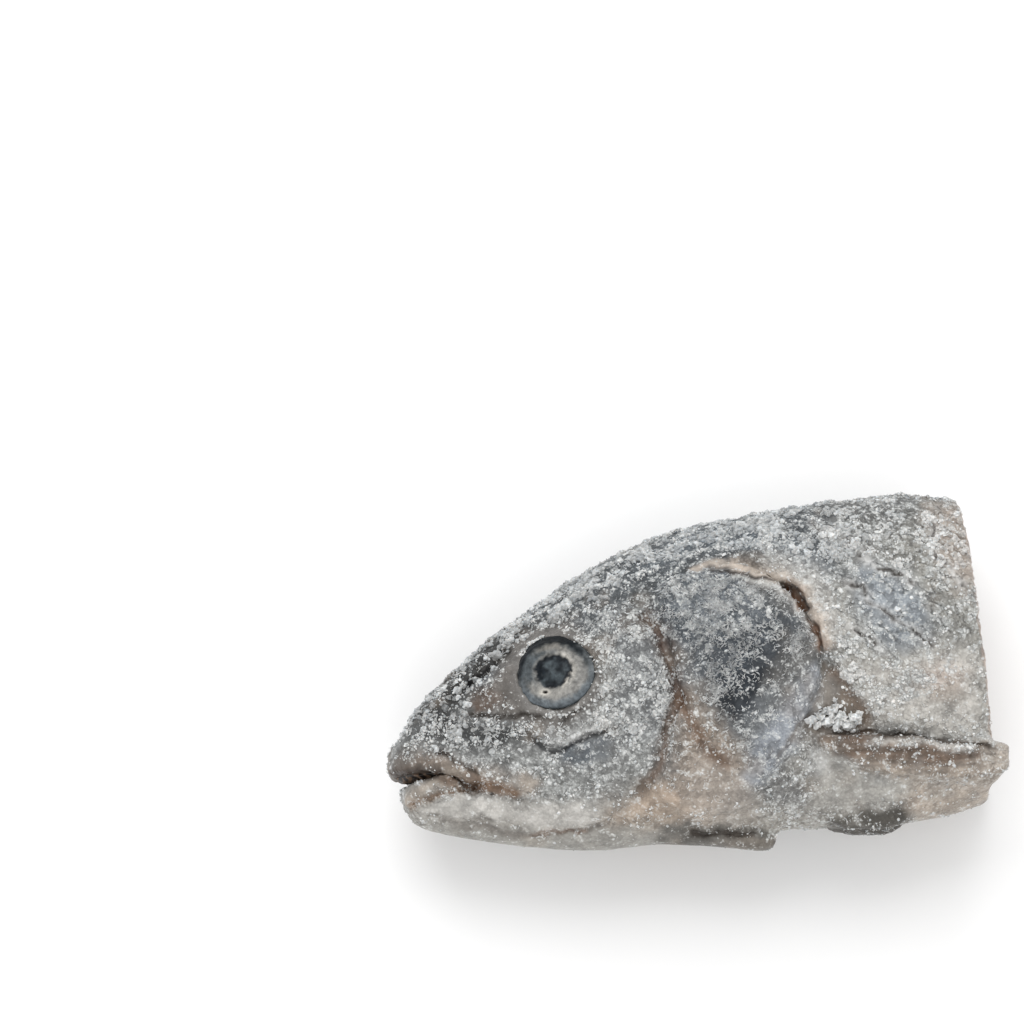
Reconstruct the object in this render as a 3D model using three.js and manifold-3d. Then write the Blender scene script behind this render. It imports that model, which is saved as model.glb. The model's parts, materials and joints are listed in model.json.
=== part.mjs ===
// A frozen fish head with its collar, cut off behind the breast fins and crusted with frost.
// It lies on its right side with the left side up: snout towards -X, back towards +Y, millimetres.
import * as THREE from "three";
import { mergeVertices } from "three/addons/utils/BufferGeometryUtils.js";
import Module from "manifold-3d";

const wasm = await Module();
wasm.setup();

// Driving dimensions
const LENGTH = 128; // snout to cut, at the height where the cut pivots
const DEPTH = 80; // throat to nape
const WIDTH = 44; // across the gill covers
const EYE_RADIUS = 9.9;

// Mesh density
const AROUND = 36;
const ALONG = 38;
const RING_CROWDING = 1.15; // over 1, the rings stand closer together at the snout
const OUTLINE_STEPS = 3; // points on an outline for each of its places
const EYE_DETAIL = [24, 12]; // segments round and from pole to pole
const ORBIT_DETAIL = [24, 6];
const NOSTRIL_DETAIL = [10, 6];
const BELLY_FIN_DETAIL = [14, 10];

// Reliefs, as heights above the bare body or depths into it
const RELIEF_ROOT = 1; // how far a raised plate reaches into the body
const GILL_COVER_RISE = 1.3;
const SHOULDER_RISE = 1.1;
const LIP_RISE = 0.9;
const FIN_RISE = 2.2;
const FIN_ROOT = 1.4;
const FIN_OVERHANG = 8; // how far the breast fins pass the end of the back
const GILL_SLIT_DEPTH = 2.8;
const CHEEK_GROOVE_DEPTH = 1.1;
const MOUTH_DEPTH = 5;

// Widths of the long reliefs, at their ends and in the middle
const GILL_SLIT_WIDTH = [1, 2.9];
const SHOULDER_WIDTH = [1.4, 3.4];
const CHEEK_GROOVE_WIDTH = [1.3, 2.1];
const GAPE_WIDTH = [3.4, 1]; // at the lips and at the corner of the mouth

// Snout, cut and resting side
const NOSE_ROUNDING = 6;
const NOSE_TIP = 0.08; // share of the first full section that is left as a blunt tip
const CUT_SLANT = 0.078; // the cut leans back towards the belly
const CUT_PIVOT = 0.86; // share of DEPTH
const CUT_LEAN_FROM = 0.62; // share of LENGTH
const REST_FLATTENING = 1.5; // how much of the right side is frozen flat

// Eyes and nostrils
const EYE_BULGE = 3.2;
const EYE_SINK = 1.2;
const EYE_GAP = 0.3;
const ORBIT_RADIUS = 11.8;
const ORBIT_DEPTH = 1.5;
const NOSTRIL_RADIUS = 1.3;
const NOSTRIL_DEPTH = 1.2;

// Throat keel and belly fins
const KEEL_WIDTH = 8;
const KEEL_ROUNDING = 2.4;
const BELLY_FIN_SIZE = [9.2, 2.7, 3.1]; // half lengths along, up and across
const BELLY_FIN_AT = [0.825, 0.078]; // shares of LENGTH and DEPTH
const BELLY_FIN_ASIDE = 5.7;

// Frost, the largest crystals only
const CRYSTAL_COUNT = 76;
const CRYSTAL_RADIUS = [0.8, 2.1]; // smallest and largest
const CRYSTAL_SINK = 0.1; // share of the radius that the centre stands above the skin
const CRYSTAL_ALONG = [0.05, 0.97]; // shares of LENGTH
const CRYSTAL_ROUND = [0.13, 0.86]; // shares of half a turn, from the left side over the back
const CRYSTAL_EYE_CLEARANCE = 14.5;
const EVEN_SPREAD = [0.7548776662, 0.569840291, 0.430159709]; // steps that fill a space evenly

// A smooth function through [position, value] pairs: cubic pieces with averaged slopes.
function smooth(pairs) {
  const slope = (i) => {
    const a = pairs[Math.max(0, i - 1)];
    const b = pairs[Math.min(pairs.length - 1, i + 1)];
    return (b[1] - a[1]) / (b[0] - a[0]);
  };
  return (x) => {
    const at = THREE.MathUtils.clamp(x, pairs[0][0], pairs[pairs.length - 1][0]);
    let i = 0;
    while (i < pairs.length - 2 && at > pairs[i + 1][0]) i += 1;
    const span = pairs[i + 1][0] - pairs[i][0];
    const t = (at - pairs[i][0]) / span;
    const lift = (pairs[i + 1][1] - pairs[i][1]) * t * t * (3 - 2 * t);
    const bend = t * (1 - t) * ((1 - t) * slope(i) - t * slope(i + 1)) * span;
    return pairs[i][1] + lift + bend;
  };
}

// Profiles of the body along its length, as shares of LENGTH and of DEPTH or half the WIDTH
const back = smooth([
  [0, 0.283], [0.023, 0.352], [0.11, 0.498], [0.216, 0.641], [0.336, 0.779],
  [0.481, 0.888], [0.625, 0.94], [0.78, 0.983], [0.88, 1], [1, 0.988],
]);
const belly = smooth([
  [0, 0.19], [0.012, 0.118], [0.044, 0.064], [0.086, 0.042], [0.18, 0.016], [0.27, 0],
  [0.35, -0.006], [0.42, 0.005], [0.5, 0.026], [0.6, 0.052], [0.75, 0.058], [0.9, 0.082], [1, 0.128],
]);
const widestHeight = smooth([[0, 0.245], [0.1, 0.29], [0.28, 0.4], [0.5, 0.44], [1, 0.47]]);
const halfWidth = smooth([
  [0, 0.4], [0.1, 0.56], [0.25, 0.77], [0.45, 0.95], [0.62, 1], [0.8, 0.97], [1, 0.86],
]);
const backRoundness = smooth([[0, 2], [0.3, 1.85], [0.6, 1.95], [1, 2.1]]);
const bellyRoundness = smooth([[0, 2], [0.2, 1.75], [0.5, 1.7], [0.7, 1.85], [1, 2]]);

// The body's surface. Share runs along the length, angle goes from the left side over the back,
// and rise moves the surface outwards. A radius of 1 is on the skin, and 0 is on the middle line.
function bodyPoint(share, angle, rise = 0, radius = 1) {
  const along = share * LENGTH;
  const noseEase = Math.max(0, 1 - along / NOSE_ROUNDING);
  const nose = Math.max(NOSE_TIP, Math.sqrt(1 - noseEase * noseEase));
  const middle = widestHeight(share) * DEPTH;
  const up = Math.sin(angle);
  const out = Math.cos(angle);
  const edge = up > 0 ? back(share) * DEPTH : belly(share) * DEPTH;
  const power = 2 / (up > 0 ? backRoundness(share) : bellyRoundness(share));
  const tall = Math.abs(edge - middle) * nose + rise;
  const wide = halfWidth(share) * (WIDTH / 2) * nose + rise;
  const y = middle + radius * tall * Math.sign(up) * Math.abs(up) ** power;
  const z = radius * wide * Math.sign(out) * Math.abs(out) ** power;
  const lean = THREE.MathUtils.smoothstep(share, CUT_LEAN_FROM, 1) * CUT_SLANT * (CUT_PIVOT * DEPTH - y);
  const noseShift = rise * Math.max(0, 1 - along / (3 * NOSE_ROUNDING));
  return new THREE.Vector3(along + lean - noseShift, y, z);
}

function solidFrom(geometry) {
  const bare = geometry.clone();
  bare.deleteAttribute("normal");
  bare.deleteAttribute("uv");
  const merged = mergeVertices(bare, 1e-4);
  return new wasm.Manifold(new wasm.Mesh({
    numProp: 3,
    vertProperties: new Float32Array(merged.attributes.position.array),
    triVerts: new Uint32Array(merged.index.array),
  }));
}

function geometryFrom(solid) {
  const mesh = solid.getMesh();
  const geometry = new THREE.BufferGeometry();
  geometry.setAttribute("position", new THREE.BufferAttribute(mesh.vertProperties, 3));
  geometry.setIndex(new THREE.BufferAttribute(mesh.triVerts, 1));
  geometry.computeVertexNormals();
  return geometry;
}

// A closed cylinder whose rings take the body's sections. With longer over 1 it runs past the cut.
function bodySolid(rise = 0, longer = 1) {
  const geometry = new THREE.CylinderGeometry(1, 1, 1, AROUND, ALONG);
  const position = geometry.attributes.position;
  for (let i = 0; i < position.count; i += 1) {
    const across = position.getX(i);
    const side = position.getZ(i);
    const share = longer * (0.5 - position.getY(i)) ** RING_CROWDING;
    const point = bodyPoint(share, Math.atan2(across, side), rise, Math.hypot(across, side));
    position.setXYZ(i, point.x, point.y, point.z);
  }
  return solidFrom(geometry);
}

// Places on the side of the head, given as shares of LENGTH and DEPTH.
const place = ([along, up]) => new THREE.Vector2(along * LENGTH, up * DEPTH);

function closedSpline(places) {
  const corners = places.map(place).map((p) => new THREE.Vector3(p.x, p.y, 0));
  const loop = new THREE.CatmullRomCurve3(corners, true, "centripetal");
  const points = loop.getPoints(places.length * OUTLINE_STEPS).slice(0, -1);
  return points.map((p) => new THREE.Vector2(p.x, p.y));
}

// A prism right through the head, so that a feature shows on both sides.
function through(outline) {
  const thick = WIDTH * 1.5;
  const shape = new THREE.Shape(outline);
  const geometry = new THREE.ExtrudeGeometry(shape, { depth: thick, bevelEnabled: false });
  geometry.translate(0, 0, -thick / 2);
  return solidFrom(geometry);
}

// A band of changing width along an open line of places, as an outline.
function band(places, width) {
  const line = new THREE.SplineCurve(places.map(place));
  const steps = places.length * OUTLINE_STEPS;
  const sides = [[], []];
  for (let i = 0; i <= steps; i += 1) {
    const at = line.getPoint(i / steps);
    const across = line.getTangent(i / steps).rotateAround(new THREE.Vector2(), Math.PI / 2);
    const half = width(i / steps) / 2;
    sides[0].push(at.clone().addScaledVector(across, half));
    sides[1].unshift(at.clone().addScaledVector(across, -half));
  }
  return [...sides[0], ...sides[1]];
}

const swelling = ([ends, middle]) => (t) => ends + (middle - ends) * Math.sin(Math.PI * t) ** 2;
const tapering = ([start, end]) => (t) => start + (end - start) * t;

// Outlines on the side of the head
const gillCoverPlaces = [
  [0.465, 0.695], [0.548, 0.752], [0.605, 0.749], [0.665, 0.69], [0.715, 0.59],
  [0.733, 0.47], [0.71, 0.328], [0.645, 0.175], [0.585, 0.098], [0.515, 0.085],
  [0.452, 0.135], [0.483, 0.263], [0.495, 0.4], [0.482, 0.55],
];
const gillSlitPlaces = [
  [0.54, 0.763], [0.608, 0.759], [0.672, 0.703], [0.722, 0.6], [0.742, 0.49], [0.736, 0.41],
];
const shoulderPlaces = [
  [0.5, 0.782], [0.604, 0.785], [0.682, 0.737], [0.742, 0.625], [0.766, 0.5], [0.77, 0.42],
];
const cheekGroovePlaces = [
  [0.427, 0.692], [0.468, 0.56], [0.488, 0.449], [0.481, 0.35], [0.45, 0.205], [0.405, 0.11], [0.34, 0.048],
];
const lipPlaces = [
  [0, 0.207], [0.05, 0.205], [0.097, 0.205], [0.135, 0.178], [0.19, 0.146], [0.238, 0.138], [0.256, 0.16],
  [0.232, 0.193], [0.184, 0.197], [0.143, 0.21], [0.111, 0.237], [0.07, 0.262], [0.03, 0.277], [0, 0.283],
];
const gapePlaces = [[-0.04, 0.17], [0.014, 0.181], [0.052, 0.184], [0.097, 0.191], [0.154, 0.152], [0.213, 0.127]];
const finPlaces = [
  [0.729, 0.276], [0.82, 0.274], [0.955, 0.267], [1.02, 0.274], [1.058, 0.258], [1.05, 0.19],
  [1.02, 0.157], [0.957, 0.171], [0.871, 0.182], [0.785, 0.207], [0.74, 0.235],
];
const keelPlaces = [
  [0.4, 0.06], [0.415, 0.008], [0.464, 0.016], [0.564, 0.008], [0.648, -0.005],
  [0.668, 0.008], [0.666, 0.06], [0.65, 0.11], [0.5, 0.12],
];
const eyePlace = place([0.285, 0.451]);
const nostrilPlace = place([0.134, 0.438]);

function skinAt(share, angle) {
  const step = 0.01;
  const point = bodyPoint(share, angle);
  const alongSkin = bodyPoint(share + step, angle).sub(bodyPoint(share - step, angle));
  const roundSkin = bodyPoint(share, angle + step).sub(bodyPoint(share, angle - step));
  return { point, out: alongSkin.cross(roundSkin).normalize() };
}

// The point of the left side over a place, with the way out of it.
function onSide(at) {
  const share = at.x / LENGTH;
  let low = -Math.PI / 2;
  let high = Math.PI / 2;
  for (let i = 0; i < 40; i += 1) {
    const middle = (low + high) / 2;
    if (bodyPoint(share, middle).y < at.y) low = middle;
    else high = middle;
  }
  return skinAt(share, low);
}

const SIDES = ["left", "right"];
const mirrored = (v) => new THREE.Vector3(v.x, v.y, -v.z);
const toSide = (v, side) => (side === "left" ? v : mirrored(v));

// A flattened ball over a place on one side, with its flat way along the skin.
function pebble(at, side, radius, height, sink, detail) {
  const { point, out } = onSide(at);
  const facing = toSide(out, side);
  const geometry = new THREE.SphereGeometry(1, ...detail);
  geometry.scale(radius, height, radius);
  geometry.applyQuaternion(new THREE.Quaternion().setFromUnitVectors(new THREE.Vector3(0, 1, 0), facing));
  geometry.translate(...toSide(point, side).addScaledVector(facing, -sink).toArray());
  return solidFrom(geometry);
}

const eyeball = (side, extra = 0) =>
  pebble(eyePlace, side, EYE_RADIUS + extra, EYE_BULGE + extra, EYE_SINK, EYE_DETAIL);
const orbit = (side) => pebble(eyePlace, side, ORBIT_RADIUS, ORBIT_DEPTH, 0, ORBIT_DETAIL);
const nostril = (side) => pebble(nostrilPlace, side, NOSTRIL_RADIUS, NOSTRIL_DEPTH, 0, NOSTRIL_DETAIL);

// The narrow keel of the throat, rounded below, which ends in a step behind the gill covers.
function throatKeel() {
  const straight = KEEL_WIDTH - 2 * KEEL_ROUNDING;
  const geometry = new THREE.ExtrudeGeometry(new THREE.Shape(keelPlaces.map(place)), {
    depth: straight,
    bevelThickness: KEEL_ROUNDING,
    bevelSize: KEEL_ROUNDING,
    bevelOffset: -KEEL_ROUNDING,
    bevelSegments: 2,
  });
  geometry.translate(0, 0, -straight / 2);
  return solidFrom(geometry);
}

// The folded belly fin of one side, a flat lobe against the belly.
function bellyFin(side) {
  const at = place(BELLY_FIN_AT);
  const geometry = new THREE.SphereGeometry(1, ...BELLY_FIN_DETAIL);
  geometry.scale(...BELLY_FIN_SIZE);
  geometry.translate(at.x, at.y, side === "left" ? BELLY_FIN_ASIDE : -BELLY_FIN_ASIDE);
  return solidFrom(geometry);
}

// The largest frost crystals, spread evenly over the back and the upper sides by a fixed rule.
function* frostCrystals() {
  const between = ([low, high], share) => low + (high - low) * share;
  for (let i = 1; i <= CRYSTAL_COUNT; i += 1) {
    const [along, round, size] = EVEN_SPREAD.map((step) => (0.5 + step * i) % 1);
    const angle = Math.PI * between(CRYSTAL_ROUND, round);
    const { point, out } = skinAt(between(CRYSTAL_ALONG, along), angle);
    const fromEye = Math.hypot(point.x - eyePlace.x, point.y - eyePlace.y);
    if (fromEye < CRYSTAL_EYE_CLEARANCE) continue;
    const radius = between(CRYSTAL_RADIUS, size * size);
    const crystal = new THREE.OctahedronGeometry(radius);
    crystal.rotateX(Math.PI * along).rotateZ(Math.PI * round);
    crystal.translate(...point.addScaledVector(out, radius * CRYSTAL_SINK).toArray());
    yield solidFrom(crystal);
  }
}

// Only the layer of a prism that lies between two depths of the body
const layer = (prism, rise, depth, longer = 1) =>
  prism.intersect(bodySolid(rise, longer)).subtract(bodySolid(-depth, longer * 1.02));

const restLevel = REST_FLATTENING - WIDTH / 2 - GILL_COVER_RISE;

function headSolid() {
  const gillCover = through(closedSpline(gillCoverPlaces));
  const lips = through(closedSpline(lipPlaces));
  const breastFin = through(closedSpline(finPlaces));
  const slit = through(band(gillSlitPlaces, swelling(GILL_SLIT_WIDTH)));
  const shoulder = through(band(shoulderPlaces, swelling(SHOULDER_WIDTH)));
  const groove = through(band(cheekGroovePlaces, swelling(CHEEK_GROOVE_WIDTH)));
  const gape = through(band(gapePlaces, tapering(GAPE_WIDTH)));
  let head = bodySolid()
    .add(throatKeel())
    .add(layer(gillCover, GILL_COVER_RISE, RELIEF_ROOT))
    .add(layer(shoulder, SHOULDER_RISE, RELIEF_ROOT))
    .add(layer(lips, LIP_RISE, RELIEF_ROOT))
    .subtract(layer(groove, 2 * GILL_COVER_RISE, CHEEK_GROOVE_DEPTH))
    .subtract(layer(slit, 2 * GILL_COVER_RISE, GILL_SLIT_DEPTH))
    .subtract(layer(gape, 2 * LIP_RISE, MOUTH_DEPTH))
    .add(layer(breastFin, FIN_RISE, FIN_ROOT, 1 + FIN_OVERHANG / LENGTH));
  for (const side of SIDES) {
    head = head
      .add(bellyFin(side))
      .subtract(orbit(side))
      .subtract(eyeball(side, EYE_GAP))
      .subtract(nostril(side));
  }
  for (const crystal of frostCrystals()) head = head.add(crystal);
  const below = new THREE.BoxGeometry(3 * LENGTH, 3 * DEPTH, WIDTH);
  below.translate(LENGTH / 2, DEPTH / 2, restLevel - WIDTH / 2);
  return head.subtract(solidFrom(below));
}

const skin = new THREE.MeshStandardMaterial({ color: 0x8d9096, roughness: 0.75, metalness: 0 });
const eye = new THREE.MeshStandardMaterial({ color: 0x3a444f, roughness: 0.3, metalness: 0 });

const head = new THREE.Mesh(geometryFrom(headSolid()), skin);
head.name = "head";
const eyes = SIDES.map((side) => {
  const mesh = new THREE.Mesh(geometryFrom(eyeball(side)), eye);
  mesh.name = `eye_${side}`;
  return mesh;
});

// The origin is under the middle of the whole, on the surface that it lies on.
const fishHead = new THREE.Group();
fishHead.add(head, ...eyes);
const middle = new THREE.Box3().setFromObject(fishHead).getCenter(new THREE.Vector3());
fishHead.position.set(-middle.x, -middle.y, -restLevel);

export default fishHead;
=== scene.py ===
import bpy
import json
import math
import numpy as np
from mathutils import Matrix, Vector

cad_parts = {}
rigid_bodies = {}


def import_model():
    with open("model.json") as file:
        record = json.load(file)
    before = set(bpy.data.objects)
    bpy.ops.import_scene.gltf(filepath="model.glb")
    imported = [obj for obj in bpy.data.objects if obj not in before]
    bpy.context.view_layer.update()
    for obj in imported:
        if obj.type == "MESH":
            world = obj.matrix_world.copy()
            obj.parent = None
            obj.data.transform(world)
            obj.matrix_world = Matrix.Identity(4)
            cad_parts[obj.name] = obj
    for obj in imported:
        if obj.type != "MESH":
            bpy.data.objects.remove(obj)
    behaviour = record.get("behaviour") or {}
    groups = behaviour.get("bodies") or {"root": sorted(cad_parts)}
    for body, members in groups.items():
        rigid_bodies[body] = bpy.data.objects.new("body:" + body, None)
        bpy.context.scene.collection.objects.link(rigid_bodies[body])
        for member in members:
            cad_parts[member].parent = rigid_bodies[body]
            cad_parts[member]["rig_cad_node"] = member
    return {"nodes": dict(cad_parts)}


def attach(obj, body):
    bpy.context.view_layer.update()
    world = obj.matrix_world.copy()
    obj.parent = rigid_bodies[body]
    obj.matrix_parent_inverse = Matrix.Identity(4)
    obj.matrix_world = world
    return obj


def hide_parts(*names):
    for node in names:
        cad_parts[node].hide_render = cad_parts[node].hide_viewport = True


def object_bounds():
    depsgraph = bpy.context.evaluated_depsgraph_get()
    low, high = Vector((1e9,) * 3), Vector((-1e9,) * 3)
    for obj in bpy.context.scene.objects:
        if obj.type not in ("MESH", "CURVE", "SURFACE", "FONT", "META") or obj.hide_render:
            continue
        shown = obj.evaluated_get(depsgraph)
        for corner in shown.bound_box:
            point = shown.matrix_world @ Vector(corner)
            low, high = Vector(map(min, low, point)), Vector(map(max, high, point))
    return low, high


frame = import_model()
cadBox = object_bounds()
mm = 0.001
corner = np.array(cadBox[0])  # snout end, lowest point and table: every place below is measured from here

print("camera")
cameraSetup = {
    "elevation": 78,
    "distance": 800 * mm,
    "aim": (-40.6 * mm, 34.6 * mm, 29.2 * mm),
    "seen": 228.9 * mm,  # width of the picture at that distance
}


def addCamera(setup):
    tilt = math.radians(setup["elevation"])
    back = Vector((0, -math.cos(tilt), math.sin(tilt)))
    bpy.ops.object.camera_add(location=Vector(setup["aim"]) + back * setup["distance"])
    camera = bpy.context.object
    camera.name = "camera"
    camera.rotation_euler = (-back).to_track_quat("-Z", "Y").to_euler()
    camera.data.lens = camera.data.sensor_width * setup["distance"] / setup["seen"]
    bpy.context.scene.camera = camera


bpy.ops.object.select_all(action="DESELECT")
addCamera(cameraSetup)


# small tools for materials
def linearColor(code):
    channels = [int(code[i:i + 2], 16) / 255 for i in (1, 3, 5)]
    return tuple(c / 12.92 if c <= 0.04045 else ((c + 0.055) / 1.055) ** 2.4 for c in channels) + (1,)


def setInputs(tree, node, inputs):
    for name, value in inputs.items():
        if isinstance(value, bpy.types.NodeSocket):
            tree.links.new(value, node.inputs[name])
        else:
            node.inputs[name].default_value = value


def addNode(tree, kind, inputs=None, output=0, **settings):
    # gives back the output that the next node takes
    node = tree.nodes.new("ShaderNode" + kind)
    for name, value in settings.items():
        setattr(node, name, value)
    setInputs(tree, node, inputs or {})
    return node.outputs[output]


def newMaterial(name):
    material = bpy.data.materials.new(name)
    material.use_nodes = True
    tree = material.node_tree
    return material, tree, tree.nodes["Principled BSDF"]


def perMm(size):
    return 1 / (size * mm)  # texture scale that gives lumps of this size in millimetres


# measuring on a mesh, in millimetres from the corner
def readVectors(piece, kind):
    flat = np.empty(len(piece.data.vertices) * 3, np.float32)
    piece.data.vertices.foreach_get(kind, flat)
    return flat.reshape(-1, 3).astype(float)


def readPoints(piece):
    return (readVectors(piece, "co") - corner) / mm


def readNormals(piece):
    return readVectors(piece, "normal")


def writePoints(piece, points):
    piece.data.vertices.foreach_set("co", (points * mm + corner).astype(np.float32).ravel())
    piece.data.update()


def writeAttribute(piece, name, values):
    if values.ndim == 1:
        layer = piece.data.attributes.new(name, "FLOAT", "POINT")
        layer.data.foreach_set("value", values.astype(np.float32))
    else:
        layer = piece.data.attributes.new(name, "FLOAT_COLOR", "POINT")
        opaque = np.column_stack([values, np.ones(len(values))])
        layer.data.foreach_set("color", opaque.astype(np.float32).ravel())


def ease(start, end, value):
    # 0 up to the start, 1 from the end on, smooth between; the start may be the larger one
    t = np.clip((value - start) / (end - start), 0, 1)
    return t * t * (3 - 2 * t)


def length(flat):
    return np.hypot(*flat.T)


def curve(spots, closed=False, steps=6):
    # round line through the spots
    p = np.array(spots, float)
    ends = (p[-1:], p[:2]) if closed else (p[:1] * 2 - p[1:2], p[-1:] * 2 - p[-2:-1])
    p = np.vstack([ends[0], p, ends[1]])
    t = np.linspace(0, 1, steps, endpoint=False)[:, None]
    out = []
    for a, b, c, d in zip(p, p[1:], p[2:], p[3:]):
        out.append(b + 0.5 * t * (c - a + t * (2 * a - 5 * b + 4 * c - d + t * (3 * (b - c) + d - a))))
    return np.vstack(out + [p[-2:-1]])


def toLine(side, line):
    # distance of every point to a line, and how far along the line its nearest place is
    near = np.full(len(side), 1e9)
    along = np.zeros(len(side))
    for i, (a, b) in enumerate(zip(line, line[1:])):
        way = b - a
        t = np.clip((side - a) @ way / max(way @ way, 1e-9), 0, 1)
        away = length(side - a - t[:, None] * way)
        closer = away < near
        near[closer] = away[closer]
        along[closer] = (i + t[closer]) / (len(line) - 1)
    return near, along


def closeTo(side, line, margin):
    return np.all((side > line.min(axis=0) - margin) & (side < line.max(axis=0) + margin), axis=1)


def inPatch(side, outline, edge):
    # 1 inside a closed outline, 0 outside, with a soft edge
    loop = curve(outline, closed=True)
    close = closeTo(side, loop, edge)
    near, _ = toLine(side[close], loop)
    inside = np.zeros(len(near), bool)
    x, y = side[close].T
    for a, b in zip(loop, loop[1:]):
        crosses = (a[1] > y) != (b[1] > y)
        inside ^= crosses & (x < (b[0] - a[0]) * (y - a[1]) / (b[1] - a[1] + 1e-12) + a[0])
    weight = np.zeros(len(side))
    weight[close] = ease(-edge, edge, np.where(inside, near, -near))
    return weight


def onLine(side, route, halfWidth, ends=0.12):
    # 1 on a line, fading out across it and over this share of its length at each end
    line = curve(route)
    close = closeTo(side, line, 3 * halfWidth)
    near, along = toLine(side[close], line)
    weight = np.zeros(len(side))
    weight[close] = np.exp(-(near / halfWidth) ** 2) * ease(0, ends, along) * ease(0, ends, 1 - along)
    return weight


def cloud(points, size, seed, octaves=3, cells=32):
    # noise between about -1 and 1, with lumps of the given size in millimetres, finer ones on top
    total = np.zeros(len(points))
    for octave in range(octaves):
        lattice = np.random.default_rng(100 * seed + octave).uniform(-1.4, 1.4, (cells,) * 3)
        spot = points / size * 2 ** octave + 2 * cells
        cell = np.floor(spot).astype(int)
        share = spot - cell
        share = share * share * (3 - 2 * share)
        for step in np.ndindex(2, 2, 2):
            weight = np.prod(np.where(step, share, 1 - share), axis=1)
            total += weight * lattice[tuple(((cell + step) % cells).T)] / 2 ** octave
    return total / sum(0.5 ** octave for octave in range(octaves))


def sway(points, size, seed):
    # noise in two directions, to bend what was drawn
    return np.column_stack([cloud(points, size, seed), cloud(points, size, seed + 1)])


# painting a mesh point by point
def rgb(code):
    return np.array(linearColor(code)[:3])


def evenTone(points, code):
    return np.tile(rgb(code), (len(points), 1))


def paint(tone, weight, code):
    weight = np.clip(weight, 0, 1)[:, None]
    return tone * (1 - weight) + rgb(code) * weight


# small tools for modelling
def selectOnly(piece):
    bpy.ops.object.select_all(action="DESELECT")
    piece.select_set(True)
    bpy.context.view_layer.objects.active = piece


def copyOfNode(node, name):
    selectOnly(frame["nodes"][node])
    bpy.ops.object.duplicate()
    piece = bpy.context.object
    piece.name = name
    piece.data.name = name
    del piece["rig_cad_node"]
    piece.data.materials.clear()
    bpy.ops.object.mode_set(mode="EDIT")
    bpy.ops.mesh.select_all(action="SELECT")
    bpy.ops.mesh.remove_doubles(threshold=0.002 * mm)
    bpy.ops.object.mode_set(mode="OBJECT")
    return piece


def applied(piece, kind, **settings):
    bpy.context.view_layer.objects.active = piece
    modifier = piece.modifiers.new(kind.lower(), kind)
    for name, value in settings.items():
        setattr(modifier, name, value)
    bpy.ops.object.modifier_apply(modifier=modifier.name)


def smoothed(piece, times, weight=None):
    # evens the mesh out, all over or only as much as the weight says
    if weight is None:
        applied(piece, "SMOOTH", factor=0.5, iterations=times)
        return
    group = piece.vertex_groups.new(name="soft")
    for tenth in range(1, 11):
        rows = np.flatnonzero(np.round(weight * 10) == tenth)
        group.add(rows.tolist(), tenth / 10, "REPLACE")
    applied(piece, "SMOOTH", factor=0.5, iterations=times, vertex_group="soft")
    piece.vertex_groups.clear()


def smoothShaded(piece):
    selectOnly(piece)
    bpy.ops.object.shade_smooth()


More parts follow.
